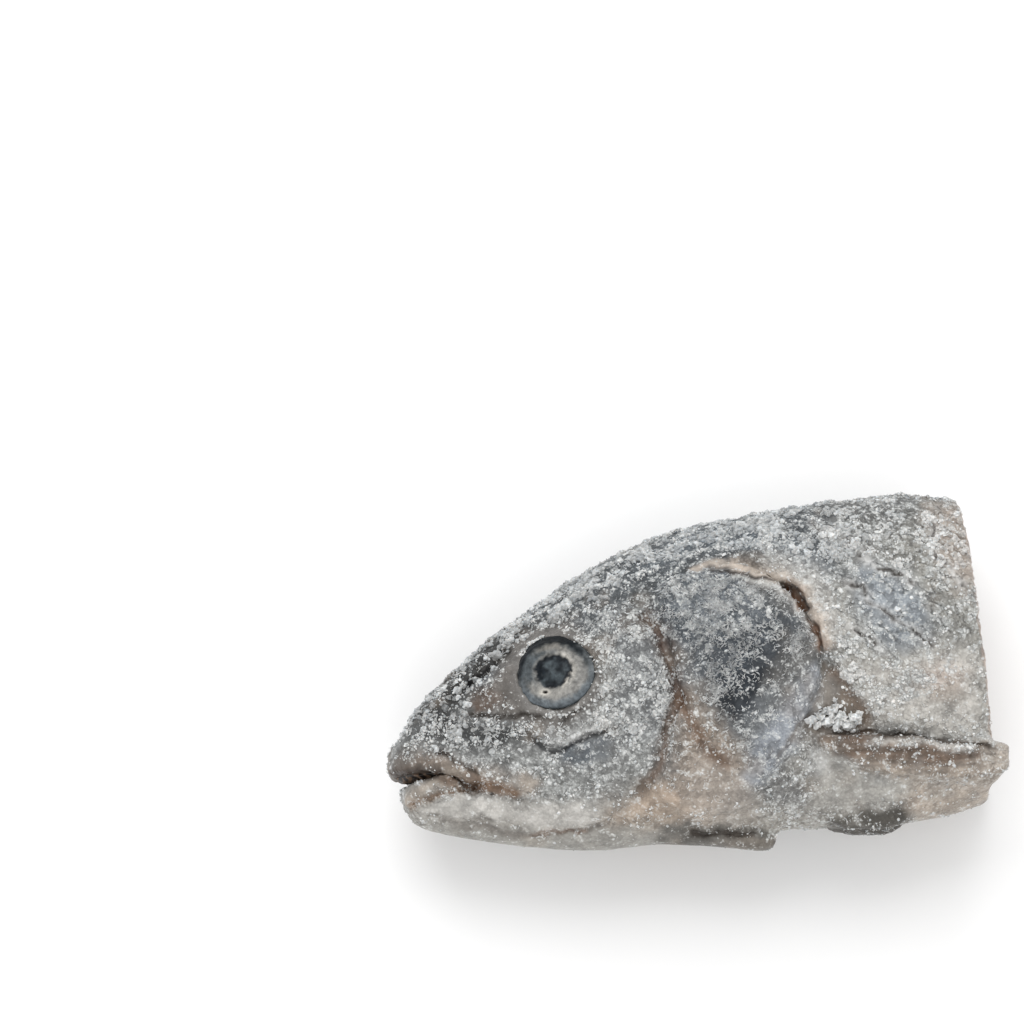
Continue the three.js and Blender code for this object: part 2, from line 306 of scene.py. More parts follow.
# places on the side of the head, as seen in the photo: along from the snout, up from the lowest point
places = {
    "gillSlit": [(69.5, 61), (72.5, 60), (77, 59.5), (82, 58), (86, 57), (88, 55.5), (91.5, 50), (94.5, 43),
                 (94.5, 37.5)],
    "slitOpen": [(87, 56.5), (89, 55), (90.5, 53), (92, 49.5)],
    "slitLow": [(93.5, 48.5), (94.5, 45.5), (95, 43), (95, 40.5)],
    "coverEdge": [(75, 59), (79, 58), (82.5, 57), (85.5, 55), (87.5, 53.5), (89.5, 51), (91, 47.5)],
    "coverDark": [(79.5, 57), (83.5, 56.5), (87, 54), (90, 51), (87, 49.5), (82.5, 52)],
    "shoulderRim": [(75, 61.5), (78.5, 60.5), (85.5, 58), (89, 56), (92, 53.5), (94, 49.5), (95.5, 44.5),
                    (96, 40)],
    "rimStart": [(66, 60.5), (70, 61.5), (74, 61.5), (78.5, 60.5), (82, 59.5)],
    "gape": [(-3, 16), (5, 16.5), (10.5, 16), (13, 16.5)],
    "lipLine": [(10, 20.5), (12, 20.5), (14.5, 19), (17.5, 17.5), (19, 16.5), (21, 15)],
    "upperLip": [(-1, 18), (3.5, 18), (7, 18.5), (10, 18.5), (12.5, 18), (15, 17), (18, 15.5), (21, 14)],
    "lipFront": [(-3, 19), (1, 19.5), (4, 20), (7, 20.5)],
    "lowerLip": [(3.5, 9), (5, 10.5), (7, 12), (9.5, 13.5), (12, 14.5), (14, 15), (17.5, 14)],
    "lipFold": [(4.5, 8.5), (7, 10), (10, 11), (12.5, 12), (15, 12), (17.5, 12.5), (20, 11.5)],
    "lipSpots": [(13, 15), (15, 15), (16.5, 14.5), (17.5, 13.5), (20, 13)],
    "mouthFold": [(10, 15.5), (14.5, 14), (17, 13), (20.5, 13.5), (25, 12.5), (30, 11)],
    "jawBone": [(19, 17), (23, 16.4), (27, 16), (31, 15.5), (33.5, 13.5), (32.5, 11), (28, 10.6),
                (22, 12.7)],
    "jawBrown": [(16.5, 16.5), (19, 16.5), (22, 14.5), (25.5, 13.5), (29, 11.5), (28.5, 10.5), (24.5, 10.5),
                 (20.5, 11.5), (17, 14)],
    "jawBead": [(29.5, 14.5), (31, 15), (33, 14), (33, 12.5), (31.5, 11), (29.5, 12)],
    "jawGroove": [(8.5, 7.5), (10.5, 7), (13, 6.5), (16, 6), (20, 6), (25, 5.5)],
    "jawCrease": [(13, 5.5), (18.5, 5), (22.5, 4.5), (26.5, 3.5), (31.5, 3), (36, 3), (41, 3.5), (45, 4.5),
                  (48.5, 5.5)],
    "jawWhite": [(7, 7.5), (11.5, 10), (18, 11), (28, 9), (38, 9.5), (47, 7.5), (43.5, 4.8), (34, 4),
                 (25, 6), (14, 6.3)],
    "gular": [(8, 6), (14, 6), (24, 5.5), (34, 3.5), (44, 4.5), (52, 5), (66, 5), (84, 3), (84, -4),
              (40, -4), (10, 2)],
    "snoutDark": [(-2, 24), (4, 27.5), (12, 30), (17, 30), (19, 34), (25, 40), (31, 46), (26, 52), (12, 42),
                  (-2, 30)],
    "cheekPlate": [(47, 51), (55.5, 50.5), (58.5, 44), (60, 35), (60.5, 28), (59.5, 21.5), (58, 17),
                   (54, 12), (51, 9), (47.5, 6), (42.5, 5.5), (38, 10), (44.5, 18), (46.5, 31)],
    "cheekGroove": [(55.5, 51), (57, 49), (60, 44.5), (61.5, 41.5), (62.5, 38), (63, 35), (64, 31),
                    (65, 28)],
    "cheekEdge": [(63.5, 33), (63, 29.5), (62, 27), (61, 24), (60, 20), (58, 14.5), (53, 8.5)],
    "cheekPatch": [(38, 21.5), (42.5, 23), (48, 23), (49.5, 21.5), (48, 19), (44.5, 17), (39, 17.5)],
    "cheekLow": [(20.5, 18.5), (29.5, 21.5), (38, 16), (49, 18), (57.5, 21), (55.5, 12), (47, 7), (38, 10),
                 (33, 10), (34.5, 15)],
    "underEye": [(18.5, 30), (19, 28.5), (24.5, 28), (28.5, 28), (32.5, 27.5), (37, 27), (41.5, 28),
                 (45, 30)],
    "vFold": [(28, 26.5), (32, 23), (34, 21.5), (37.5, 20.5), (40, 21.5), (43, 23), (46.5, 24), (49, 24.5)],
    "orbitBrown": [(18.5, 32.5), (22.5, 36), (27, 39), (28.5, 33.5), (29.5, 28.5), (24, 28.5), (19, 29)],
    "orbitRight": [(47, 44.5), (50, 41), (49.5, 35), (47.5, 30), (44.5, 26.5), (46.5, 33), (47, 39)],
    "underFrost": [(30, 26.5), (38, 26.5), (46, 28.5), (54, 27), (52, 24.5), (44, 24.5), (37, 22.5),
                   (31, 24.5)],
    "vRidge": [(36.5, 22.5), (39, 22.5), (42, 23.5), (46, 25), (50, 25.5)],
    "snoutStreak": [(13, 31.5), (15, 34), (18, 36), (21.5, 39.5), (25, 42.5), (28.5, 44.5)],
    "snoutSlot": [(15, 33), (16.5, 34.5), (18.5, 36.5), (20.5, 37.5), (22.5, 39.5), (24.5, 41)],
    "snoutPlate": [(20, 34.5), (22, 37), (24.5, 39.5), (26.5, 39.5), (25.5, 37), (23, 34.5), (21, 33.5)],
    "snoutFrost": [(4, 26.5), (11.5, 32.5), (18.5, 27.5), (29.5, 27), (38, 25.5), (38, 22.5), (29.5, 21.5),
                   (20.5, 21), (12, 22), (5, 22)],
    "preBand": [(47, 49), (55.5, 53.5), (59, 49), (61, 39.5), (61.5, 30.5), (58.5, 22.5), (51, 22.5),
                (48, 26.5), (49.5, 35), (49, 42)],
    "gillCover": [(59.5, 55.5), (70, 60), (78, 60), (85.5, 55.5), (91.5, 48), (94.5, 40), (93.5, 33.5),
                  (91.5, 28.5), (86.5, 19), (80.5, 10.5), (74, 8), (66, 7.5), (60, 11.5), (62.5, 21),
                  (64, 32), (62, 44)],
    "slateCore": [(72, 29.5), (75.5, 34.5), (79, 38.5), (88, 44.5), (86.5, 39), (83, 34), (79, 28.5),
                  (76.5, 26.5), (74, 27.5)],
    "slateMid": [(69, 38), (72, 43.5), (80, 45.5), (87, 47.5), (91, 44), (87.5, 38.5), (82, 35), (76, 31),
                 (72, 32)],
    "slateWide": [(62, 55.5), (72.5, 59.5), (82, 57.5), (88, 54), (91.5, 48.5), (92.5, 43), (87, 38),
                  (83, 34), (78.5, 27.5), (76, 26), (72, 29), (70, 35.5), (66, 40.5), (61.5, 46)],
    "coverPale": [(66, 17), (72, 18), (77, 15.5), (81, 11.5), (80.5, 6), (75, 5), (66.5, 5)],
    "slateTop": [(62, 55), (70, 59), (79, 57.5), (84, 53), (82, 49), (74, 48), (66, 47)],
    "backBeige": [(98, 78), (112, 82), (122, 82), (122, 70), (112, 64), (100, 66)],
    "opercleBlue": [(93.5, 37.5), (94.5, 32.5), (92, 26.5), (88, 20), (82.5, 14), (78.5, 14), (79.5, 19),
                    (83.5, 25), (88, 31.5)],
    "opercleTan": [(64, 28), (66.5, 31), (71, 26), (76, 22), (79, 17), (77, 13), (70, 11), (63, 14),
                   (62.5, 21)],
    "interLine": [(63, 34), (64.5, 30), (65.5, 27.5), (67, 24), (70, 20.5), (73, 18), (76, 15.5)],
    "triangle": [(96, 39), (99, 35.5), (103, 31), (107, 24.5), (103, 24), (96, 24), (92, 24.5), (94, 31)],
    "triangleFront": [(95.5, 37.5), (97, 34), (96.5, 31), (94, 28.5), (92.5, 28.5), (94, 33)],
    "triangleBack": [(97, 38), (99, 35), (102, 31.5), (104.5, 28), (106, 25)],
    "triangleFrost": [(92, 26.5), (94, 27.5), (96, 29), (98, 31), (99, 29), (101, 28), (103, 28),
                      (102.5, 26), (100.5, 25.5), (98, 24.5), (97, 25.5), (93, 25.5)],
    "coverLow": [(95, 36), (93.5, 31), (92, 27), (89.5, 24), (86.5, 20), (83.5, 16)],
    "orbitRed": [(19, 32.5), (22, 34), (25.5, 33), (26.5, 31), (22.5, 29.5), (19, 29.5)],
    "finTop": [(95, 23.5), (104, 23.5), (112.5, 23), (119.5, 22), (128, 21.5), (134, 20.5)],
    "fin": [(95.5, 21), (102, 17.5), (107.5, 16), (112.5, 15), (120, 14.5), (129.5, 15), (135, 16),
            (136, 19), (133, 20.5), (119.5, 22), (104, 23.5), (96, 23.5)],
    "finRidge": [(103, 22.5), (113, 21.5), (119.5, 21), (125, 20.5), (129, 20.5)],
    "finPale": [(103, 18.5), (113, 17), (122, 17), (134, 18), (135, 15), (120, 13.5), (108, 15)],
    "bellyPink": [(113, 13.5), (123, 14), (133, 15), (137, 16.5), (136, 13), (132, 9.5), (121, 7),
                  (113.5, 7.5)],
    "bellyDark": [(96, 3), (97, 6), (102, 8), (107.5, 9), (112, 9.5), (115.5, 8), (115, 5), (109, 2.5),
                  (103, 1.5)],
    "bellyPale": [(94.5, 20), (99, 20), (103, 17), (109, 15), (115, 15), (114, 10.5), (107, 9.5),
                  (99.5, 8.5), (93.5, 9), (93, 14)],
    "bellyMottle": [(82, 13), (86, 16), (90, 14.5), (92, 10.5), (87.5, 9.5), (82.5, 10.5)],
    "bodyPink": [(115.5, 37), (121, 39), (126, 37.5), (127, 34), (123, 32), (117.5, 33)],
    "bodyFlecks": [(98, 40.5), (103.5, 41.5), (111, 41.5), (116.5, 37.5), (117.5, 32), (113, 29),
                   (106.5, 30), (101, 35.5)],
    "rimFrost": [(80, 62), (85.5, 60.5), (91, 57.5), (94.5, 53.5), (96.5, 48.5), (97.5, 43)],
    "coverMottle": [(86.5, 46), (90.5, 44), (94, 43.5), (94, 37.5), (89, 36), (82.5, 33), (85, 39.5)],
    "finEnd": [(128.5, 22.5), (134, 22), (137, 21), (137.5, 17.5), (133.5, 16), (130, 18)],
    "bellySpot": [(91.5, 19.5), (94, 20.5), (96.5, 19), (97, 16.5), (95, 15), (92.5, 16)],
    "bellyFrost": [(83.5, 16), (90, 19.5), (94.5, 20), (98.5, 18), (101, 15), (95, 10), (89.5, 10),
                   (85, 12)],
    "throatTan": [(47, 10), (57.5, 14), (68.5, 12), (73.5, 10), (69, 5.5), (55.5, 5), (48.5, 5.5)],
    "keel": [(60, 4), (66, 5.5), (76, 5.5), (86, 4), (86, -3), (62, -3)],
    "keelSlit": [(65.5, 3.5), (71, 3.5), (75.5, 3.5), (81.5, 3)],
    "blueBody": [(104, 61.5), (113, 59), (119.5, 50), (116.5, 42.5), (108.5, 42.5), (104.5, 47.5),
                 (102, 56)],
    "blueBack": [(56, 63.5), (69.5, 71), (82.5, 71), (97.5, 63.5), (100.5, 57.5), (90.5, 60.5), (78, 66),
                 (67, 65.5), (60, 60)],
    "bodyPale": [(101, 38), (112, 40.5), (128.5, 42), (130.5, 31), (130.5, 23.5), (112, 24.5), (106, 27.5)],
    "body": [(97, 61), (104, 64), (119, 74), (129, 80), (132, 42), (132, 24), (112, 24.5), (106, 27.5),
             (98, 40), (97.5, 50)],
    "cutPink": [(119.5, 74), (127, 78.5), (129, 72.5), (130, 60.5), (127, 53.5), (123, 59), (120, 65)],
    "topFrost": [(21, 42), (27, 49), (38, 60), (60, 71), (85, 77), (112, 82), (128, 82), (128, 60),
                 (112, 62), (98, 63), (80, 67), (64, 65), (50, 57), (36, 49), (27, 43)],
    "cheekWhite": [(55.5, 48.5), (60, 50), (61.5, 46), (58.5, 43), (55.5, 43)],
    "cheekHole": [(35.5, 20), (36.5, 20), (37, 19), (36, 18.5), (35, 19)],
    "jawSpots": [(31, 3.5), (36, 3.5), (41, 3.5), (45, 4)],
    "lidFrost": [(29, 41), (30, 42.5), (31.5, 44), (33, 45), (35, 46)],
    "lidShards": [(38, 47.5), (41, 47), (44, 43.5), (46, 40), (46.5, 37.5), (46.5, 34), (45, 31), (42, 29),
                  (37, 28), (32, 28)],
}
bodyCreases = [
    [(102.5, 64), (107, 60.5), (112.5, 59), (116.5, 56)],
    [(97.5, 57), (103.5, 56), (105.5, 53.5), (110, 50), (115, 46.5), (118, 43.5), (121, 42)],
    [(100.5, 49), (103, 45), (105.5, 44.5), (110, 41.5)],
    [(93, 73), (97, 69.5), (102, 67), (108.5, 62.5)],
    [(119, 73.5), (121, 70.5), (120, 65), (123, 62), (126, 57.5), (127.5, 55)],
]
eyePlace = np.array((36.9, 37.1))
fineLines = [
    "gillSlit", "slitOpen", "slitLow", "coverEdge", "gape", "lipLine", "lipFold", "lipSpots", "mouthFold",
    "jawGroove", "jawCrease", "underEye", "vFold", "vRidge", "snoutSlot", "finTop", "finRidge", "keelSlit",
    "shoulderRim", "cheekGroove",
]

print("skin: copy of the head, remeshed and smoothed")
skinSetup = {
    "voxel": 0.67 * mm, "smoothing": 29, "closing": 120, "finalSmoothing": 3, "fineSmoothing": 2,
    "open": [("slitOpen", 0.5), ("gape", 2.5), ("finTop", 2)],  # cuts that stay sharp, and their reach
    "shut": ["gillSlit", "mouthFold"],  # cuts that are smoothed away to shallow folds
    "eyeReach": 13.5, "fade": 2, "lineFade": 2.5, "shutReach": (3, 5),
    "fineReach": 1.1, "fineRing": (9.5, 1.8),  # ring of small faces on the lid: radius, half width
}


def refined(piece, lines):
    # faces of half the size where the fine lines run, on the side that shows
    points = readPoints(piece)
    radius, halfWidth = skinSetup["fineRing"]
    fine = np.abs(length(points[:, :2] - eyePlace) - radius) < halfWidth
    for line in map(curve, lines):
        close = np.flatnonzero(closeTo(points[:, :2], line, skinSetup["fineReach"]))
        near, _ = toLine(points[close, :2], line)
        fine[close[near < skinSetup["fineReach"]]] = True
    fine &= points[:, 2] > points[:, 2].mean()
    bpy.context.view_layer.objects.active = piece
    bpy.ops.object.mode_set(mode="EDIT")
    bpy.ops.mesh.select_mode(type="FACE")
    bpy.ops.mesh.select_all(action="DESELECT")
    bpy.ops.object.mode_set(mode="OBJECT")
    chosen = [bool(fine[list(face.vertices)].any()) for face in piece.data.polygons]
    piece.data.polygons.foreach_set("select", chosen)
    bpy.ops.object.mode_set(mode="EDIT")
    bpy.ops.mesh.subdivide(number_cuts=1)
    bpy.ops.object.mode_set(mode="OBJECT")


skin = copyOfNode("head", "frozenSkin")
applied(skin, "REMESH", mode="VOXEL", voxel_size=skinSetup["voxel"])
side = readPoints(skin)[:, :2]
eyeReach, fade = skinSetup["eyeReach"], skinSetup["fade"]
keepSharp = 1 - ease(eyeReach - fade, eyeReach + fade, length(side - eyePlace))
for name, reach in skinSetup["open"]:
    near, _ = toLine(side, curve(places[name]))
    keepSharp = np.maximum(keepSharp, 1 - ease(reach, reach + skinSetup["lineFade"], near))
closed = np.zeros(len(side))
for name in skinSetup["shut"]:
    near, _ = toLine(side, curve(places[name]))
    closed = np.maximum(closed, (1 - ease(*skinSetup["shutReach"], near)) * (1 - keepSharp))
smoothed(skin, skinSetup["closing"], closed)
smoothed(skin, skinSetup["smoothing"], 1 - keepSharp)
smoothed(skin, skinSetup["finalSmoothing"])
refined(skin, [places[name] for name in fineLines] + bodyCreases)
smoothed(skin, skinSetup["fineSmoothing"])
skin.data.calc_loop_triangles()
print("skin has", len(skin.data.loop_triangles), "triangles")

print("skin: folds, plates and slits")
raisedPlates = [  # place, soft edge in millimetres, rise
    ("jawBone", 0.6, 0.6), ("cheekPlate", 0.7, 0.7), ("gillCover", 0.6, 0.8), ("fin", 0.6, 0.4),
]
sunkPlates = [  # place, soft edge, depth
    ("triangle", 1.8, 1.3), ("cheekPatch", 1.5, 0.35), ("orbitBrown", 1.5, 0.3), ("cheekHole", 0.6, 1.4),
]
ridges = [  # place, half width, height
    ("gillSlit", 1.9, 1.1), ("shoulderRim", 1.5, 0.5), ("upperLip", 1.5, 0.6), ("lowerLip", 1.2, 0.6),
    ("finRidge", 0.8, 0.7), ("vRidge", 0.6, 0.5), ("coverEdge", 0.5, 0.3),
]
grooves = [  # place, half width, depth
    ("gillSlit", 0.5, 1.4), ("slitOpen", 1.5, 2.0), ("slitLow", 0.8, 1.2), ("lipLine", 0.5, 0.6),
    ("mouthFold", 0.7, 0.8), ("lipFold", 0.6, 0.5), ("lipSpots", 0.5, 0.4), ("jawGroove", 0.5, 0.6),
    ("jawCrease", 0.5, 0.6), ("cheekGroove", 1.2, 1.1), ("cheekEdge", 1.0, 0.6), ("underEye", 0.5, 0.9),
    ("vFold", 0.6, 1.0), ("interLine", 0.9, 0.7), ("coverLow", 0.5, 0.5), ("finTop", 0.5, 1.0),
    ("keelSlit", 0.6, 0.9), ("snoutStreak", 1.6, 0.5), ("snoutSlot", 0.7, 1.2),
]
smoothPlaces = ["jawWhite", "gular", "throatTan", "bellyPale", "bellyPink", "opercleBlue"]
eyeLid = {"pull": 0.12, "lowerPull": 0.1, "lift": 0.9, "edge": 8.7, "full": 11, "reach": 16}
lipSetup = {
    "line": 16.3, "reach": 2.6, "open": 0.3, "shut": 0.85,  # how far they close in front and at the corner
    "from": 3, "to": 11, "full": 14, "end": 18,
}
crustSetup = {
    "swell": 0.25, "swellSize": 7, "clump": 0.3, "clumpSize": 1.6, "clumpSeed": 45,
    "smooth": 0.8,  # how even the smooth places are
    "bend": 3.5, "fray": 1.4,  # sizes of the bends and frays in edges
}
crackSetup = {
    "lip": 0.3, "lipWidth": 1.0, "depth": 0.7, "width": 0.42,
    "frost": "#cbcac8", "frostWidth": 1.1, "dark": "#2f2821", "bareWidth": 0.5, "bare": 0.9,
}
cutSetup = {
    "from": 124, "above": 20,  # the cut face starts here, over the breast fin
    "backbone": (54, 21.8), "bone": 4.2, "pit": 1.2,
    "muscles": [(65, 30), (65, 13.6), (38, 31), (38, 12.6)], "ring": 3.6, "seam": 0.7,
    "ringHeight": 0.15, "boneHeight": 0.5, "pitDepth": 0.4,
    "flesh": "#ab9c91", "seamColor": "#7b6c63", "blood": "#6b4c43",
    "boneColor": "#b8afa3", "pitColor": "#6f6055",
}
finSetup = {"raySpacing": 1.3, "rayHeight": 0.16, "slope": 0.05, "streaks": 0.5, "streakSize": 0.9}
points = readPoints(skin)
onTable = ease(0.2, 2.5, points[:, 2])  # the flat that it lies on stays flat
toLips = points[:, 1] - lipSetup["line"]  # the lips close on each other towards the corner of the mouth
closing = lipSetup["shut"] - lipSetup["open"]
shutting = lipSetup["open"] + closing * ease(lipSetup["from"], lipSetup["to"], points[:, 0])
shutting = toLips * shutting * np.exp(-(toLips / lipSetup["reach"]) ** 2)
points[:, 1] -= shutting * ease(lipSetup["end"], lipSetup["full"], points[:, 0])
toEye = points[:, :2] - eyePlace
pull = eyeLid["pull"] + eyeLid["lowerPull"] * ease(0, -7, toEye[:, 1])
points[:, :2] -= toEye * (pull * ease(eyeLid["reach"], eyeLid["full"], length(toEye)))[:, None]
lidEdge = ease(eyeLid["edge"] + 4, eyeLid["edge"] + 0.5, length(points[:, :2] - eyePlace))
points[:, 2] += eyeLid["lift"] * lidEdge * onTable * np.sign(points[:, 2] - points[:, 2].mean())
writePoints(skin, points)
normals = readNormals(skin)
side = points[:, :2]
wander = sway(points, crustSetup["bend"], 1)
crooked = side + 0.5 * wander  # hand-cut edges instead of drawn ones
jitter = 0.9 * wander + 0.5 * sway(points, crustSetup["fray"], 4)
even = np.max([inPatch(crooked, places[name], 2) for name in smoothPlaces], axis=0)
clumps = cloud(points, crustSetup["clumpSize"], crustSetup["clumpSeed"])  # crust and frost gather here
rise = crustSetup["swell"] * cloud(points, crustSetup["swellSize"], 3) + crustSetup["clump"] * clumps
rise *= 1 - crustSetup["smooth"] * even
for name, edge, height in raisedPlates:
    rise += height * inPatch(crooked, places[name], edge)
for name, edge, depth in sunkPlates:
    rise -= depth * inPatch(crooked, places[name], edge)
for name, halfWidth, height in ridges:
    rise += height * onLine(crooked, places[name], halfWidth)
for name, halfWidth, depth in grooves:
    rise -= depth * onLine(crooked, places[name], halfWidth)
cracksOpen = ease(-0.45, 0.1, cloud(points, 2.6, 41))  # the cracks in the crust come and go
for crease in bodyCreases:
    rise += crackSetup["lip"] * onLine(side + jitter, crease, crackSetup["lipWidth"])
    rise -= crackSetup["depth"] * cracksOpen * onLine(side + jitter, crease, crackSetup["width"])
cut = ease(cutSetup["from"], cutSetup["from"] + 3, side[:, 0])
cut *= ease(0.6, 0.9, normals[:, 0]) * ease(cutSetup["above"], cutSetup["above"] + 4, side[:, 1])
section = points[:, 1:] + 0.8 * wander
bone, pit = cutSetup["bone"], cutSetup["pit"]
fromBone = length(section - cutSetup["backbone"])
fromMuscle = np.min([length(section - middle) for middle in cutSetup["muscles"]], axis=0)
rings = np.sin(fromMuscle * 2 * math.pi / cutSetup["ring"])
rise += cut * cutSetup["ringHeight"] * rings
rise += cut * cutSetup["boneHeight"] * ease(bone + 0.6, bone - 0.6, fromBone)
rise -= cut * cutSetup["pitDepth"] * ease(pit + 0.4, pit - 0.4, fromBone)
finRays = np.sin((side[:, 1] + finSetup["slope"] * side[:, 0]) * 2 * math.pi / finSetup["raySpacing"])
rise += finSetup["rayHeight"] * finRays * inPatch(side, places["fin"], 0.8)
points += normals * (rise * onTable)[:, None]
writePoints(skin, points)
smoothShaded(skin)

print("skin: colours and frost cover")
fleshColors = {
    "back": "#4f5356", "belly": "#a09c95", "flank": "#868786",
    "tan": "#8a7f73", "slate": "#4d5359", "orbit": "#686460",
}
patchPaint = [  # place, soft edge in millimetres, colour, strength
    ("body", 3, "#98968f", 0.8),
    ("bodyPale", 5, "#bab6b0", 0.85),
    ("blueBody", 3, "#8d949b", 0.85),
    ("blueBack", 3, "#686f75", 0.8),
    ("backBeige", 4, "#7c7b77", 0.6),
    ("bodyPink", 2.5, "#b3a398", 0.6),
    ("cutPink", 3, "#a99d93", 0.8),
    ("bellyPink", 2, "#ab9e91", 0.85),
    ("bellyDark", 1.5, "#37342f", 0.9),
    ("bellyPale", 2.5, "#a7a49e", 0.85),
    ("bellyFrost", 2, "#98958f", 0.75),
    ("bellyMottle", 1.5, "#6f7071", 0.6),
    ("bellySpot", 1.5, "#b9b9b7", 0.8),
    ("throatTan", 4, "#b09d8b", 0.85),
    # this patch and the next: the snout's dark skin, darkened further to near black as painted shade in the
    # pits between its ice lumps
    ("snoutFrost", 3, "#191a1b", 0.9),
    ("snoutDark", 2, "#242423", 0.9),
    ("snoutPlate", 1, "#777c80", 0.8),
    ("preBand", 3, "#77797a", 0.8),
    ("cheekLow", 3, "#898a88", 0.8),
    ("cheekPatch", 1.5, "#555b61", 0.85),
    ("orbitBrown", 2, "#483e36", 0.85),
    ("orbitRed", 1.2, "#5f493a", 0.4),
    ("orbitRight", 2, "#989792", 0.8),
    ("underFrost", 2, "#9a9a98", 0.8),
    ("opercleTan", 4, "#998c7f", 0.85),
    ("coverPale", 3, "#a39a91", 0.7),
    ("slateWide", 2.5, "#454b51", 0.85),
    ("slateTop", 3, "#72787d", 0.75),
    ("slateMid", 3, "#2f363d", 0.8),
    ("slateCore", 1.5, "#151b22", 0.95),
    ("coverDark", 2, "#474541", 0.7),
    ("coverMottle", 1.5, "#6a6660", 0.5),
    ("opercleBlue", 2, "#989da4", 0.9),
    ("gular", 1.5, "#8f8d88", 0.8),
    ("keel", 1.5, "#54514c", 0.85),
    ("jawWhite", 1.5, "#b8b5b0", 0.9),
    ("jawBone", 2, "#948a80", 0.75),
    ("jawBrown", 1, "#6b5544", 0.85),
    ("jawBead", 1.2, "#a89e93", 0.6),
    ("triangle", 1.5, "#6a5f54", 0.9),
    ("triangleFront", 1, "#8c8780", 0.7),
    # the fin's brown, partly its own colour and partly painted shade of its lower face
    ("fin", 1.2, "#645142", 0.9),
    ("finPale", 1.5, "#a0968b", 0.8),
    ("finEnd", 1.2, "#b3aaa0", 0.8),
    ("cheekHole", 0.8, "#1d1a18", 0.95),
]
linePaint = [  # place, half width in millimetres, colour, strength
    ("snoutStreak", 1.6, "#17140f", 0.85),
    # painted shade: the nearly black line down the slot on the snout
    ("snoutSlot", 0.9, "#070503", 0.97),
    ("rimFrost", 4.5, "#bfbcb7", 0.75),
    ("rimStart", 0.8, "#b5a99d", 0.8),
    ("shoulderRim", 2.0, "#bdb1a5", 0.85),
    ("upperLip", 2.2, "#786b60", 0.85),
    ("lipFront", 2, "#5c5a57", 0.75),
    ("lipLine", 0.5, "#3f342b", 0.9),
    ("lowerLip", 1.8, "#a0968b", 0.85),
    ("mouthFold", 0.9, "#78614e", 0.6),
    ("lipFold", 0.7, "#7a6350", 0.85),
    ("lipSpots", 0.6, "#5a4332", 0.85),
    ("cheekGroove", 1.8, "#56443a", 0.9),
    ("cheekEdge", 1.3, "#665040", 0.7),
    ("interLine", 1.5, "#5f4836", 0.8),
    ("vRidge", 0.7, "#bdbdbb", 0.8),
    ("underEye", 0.5, "#2f2822", 0.9),
    ("vFold", 0.6, "#303134", 0.85),
    ("jawGroove", 0.5, "#77726c", 0.7),
    ("jawCrease", 0.5, "#6f6963", 0.7),
    ("coverEdge", 0.5, "#c3c3c0", 0.75),
    ("coverLow", 0.5, "#67605a", 0.6),
    # painted shade: the nearly black line in the gap of the gill slit
    ("gillSlit", 0.45, "#1d140d", 0.97),
    ("slitOpen", 1.6, "#664329", 0.95),
    ("slitLow", 0.9, "#6b4a33", 0.9),
    ("jawSpots", 0.5, "#6e5544", 0.55),
    ("finRidge", 0.9, "#b3b0ab", 0.85),
    ("triangleBack", 1.2, "#5d4a3b", 0.6),
    ("gape", 1.6, "#33261d", 0.95),
    # painted shadow: the dark line along the top edge of the fin, where it meets the flank
    ("finTop", 0.8, "#3f3329", 0.9),
    ("keelSlit", 0.8, "#352d27", 0.9),
]
unevenness = {  # how much lighter and darker each of these makes the skin
    "patches": 0.35, "mottle": 0.22, "clumps": 0.12, "bodyClumps": 0.2, "slateClumps": 0.2,
}
fadesOnBack = ("shoulderRim", "rimStart", "rimFrost", "snoutDark")  # they would run long on the steep back
points = readPoints(skin)
normals = readNormals(skin)
side = points[:, :2]
upright = side[:, 1] - 0.28 * side[:, 0]  # rises towards the back along the slope of the head
ragged = side + jitter
blotches = cloud(points, 8, 6)
steepness = ease(0.45, 0.15, np.abs(normals[:, 2]))
inSlate = inPatch(ragged, places["slateWide"], 2)
onBody = inPatch(ragged, places["body"], 2)
inTop = inPatch(ragged, places["topFrost"], 3)
inSnout = inPatch(ragged, places["snoutDark"], 2)
fromEye = length(ragged - eyePlace)
fromEye += 1.8 * ease(0, 8, side[:, 0] - eyePlace[0])  # behind the eye the frost comes closer


def kept(name):
    return 1 - steepness if name in fadesOnBack else 1


tone = evenTone(points, fleshColors["flank"])
# darker towards the back: partly the back's own dark skin, partly painted shadow of heads that lay against it
tone = paint(tone, ease(18, 40, upright), fleshColors["back"])
tone = paint(tone, ease(16, 4, side[:, 1]), fleshColors["belly"])
tone = paint(tone, 0.6 * inPatch(ragged, places["gillCover"], 2), fleshColors["slate"])
patchy = 1 - unevenness["patches"] * ease(0, 0.6, cloud(points, 3.5, 50))
for name, edge, code, strength in patchPaint:
    tone = paint(tone, strength * kept(name) * patchy * inPatch(ragged, places[name], edge), code)
tone = paint(tone, 0.8 * (1 - ease(11, 15, fromEye)), fleshColors["orbit"])
for name, halfWidth, code, strength in linePaint:
    tone = paint(tone, strength * kept(name) * onLine(ragged, places[name], halfWidth), code)
tone = paint(tone, 0.35 * ease(0.15, 0.6, blotches) * (1 - inSlate), fleshColors["tan"])
clumpShade = unevenness["clumps"] + unevenness["bodyClumps"] * onBody + unevenness["slateClumps"] * inSlate
tone *= (1 + unevenness["mottle"] * cloud(points, 3, 7) + clumpShade * clumps)[:, None]
streaks = cloud(points * (0.12, 1, 1), finSetup["streakSize"], 30)  # long ones, along the rays of the fin
tone *= (1 + finSetup["streaks"] * streaks * inPatch(ragged, places["fin"], 1))[:, None]
for crease in bodyCreases:
    tone = paint(tone, 0.65 * onLine(ragged, crease, crackSetup["frostWidth"]), crackSetup["frost"])
    tone = paint(tone, 0.95 * cracksOpen * onLine(ragged, crease, crackSetup["width"]), crackSetup["dark"])

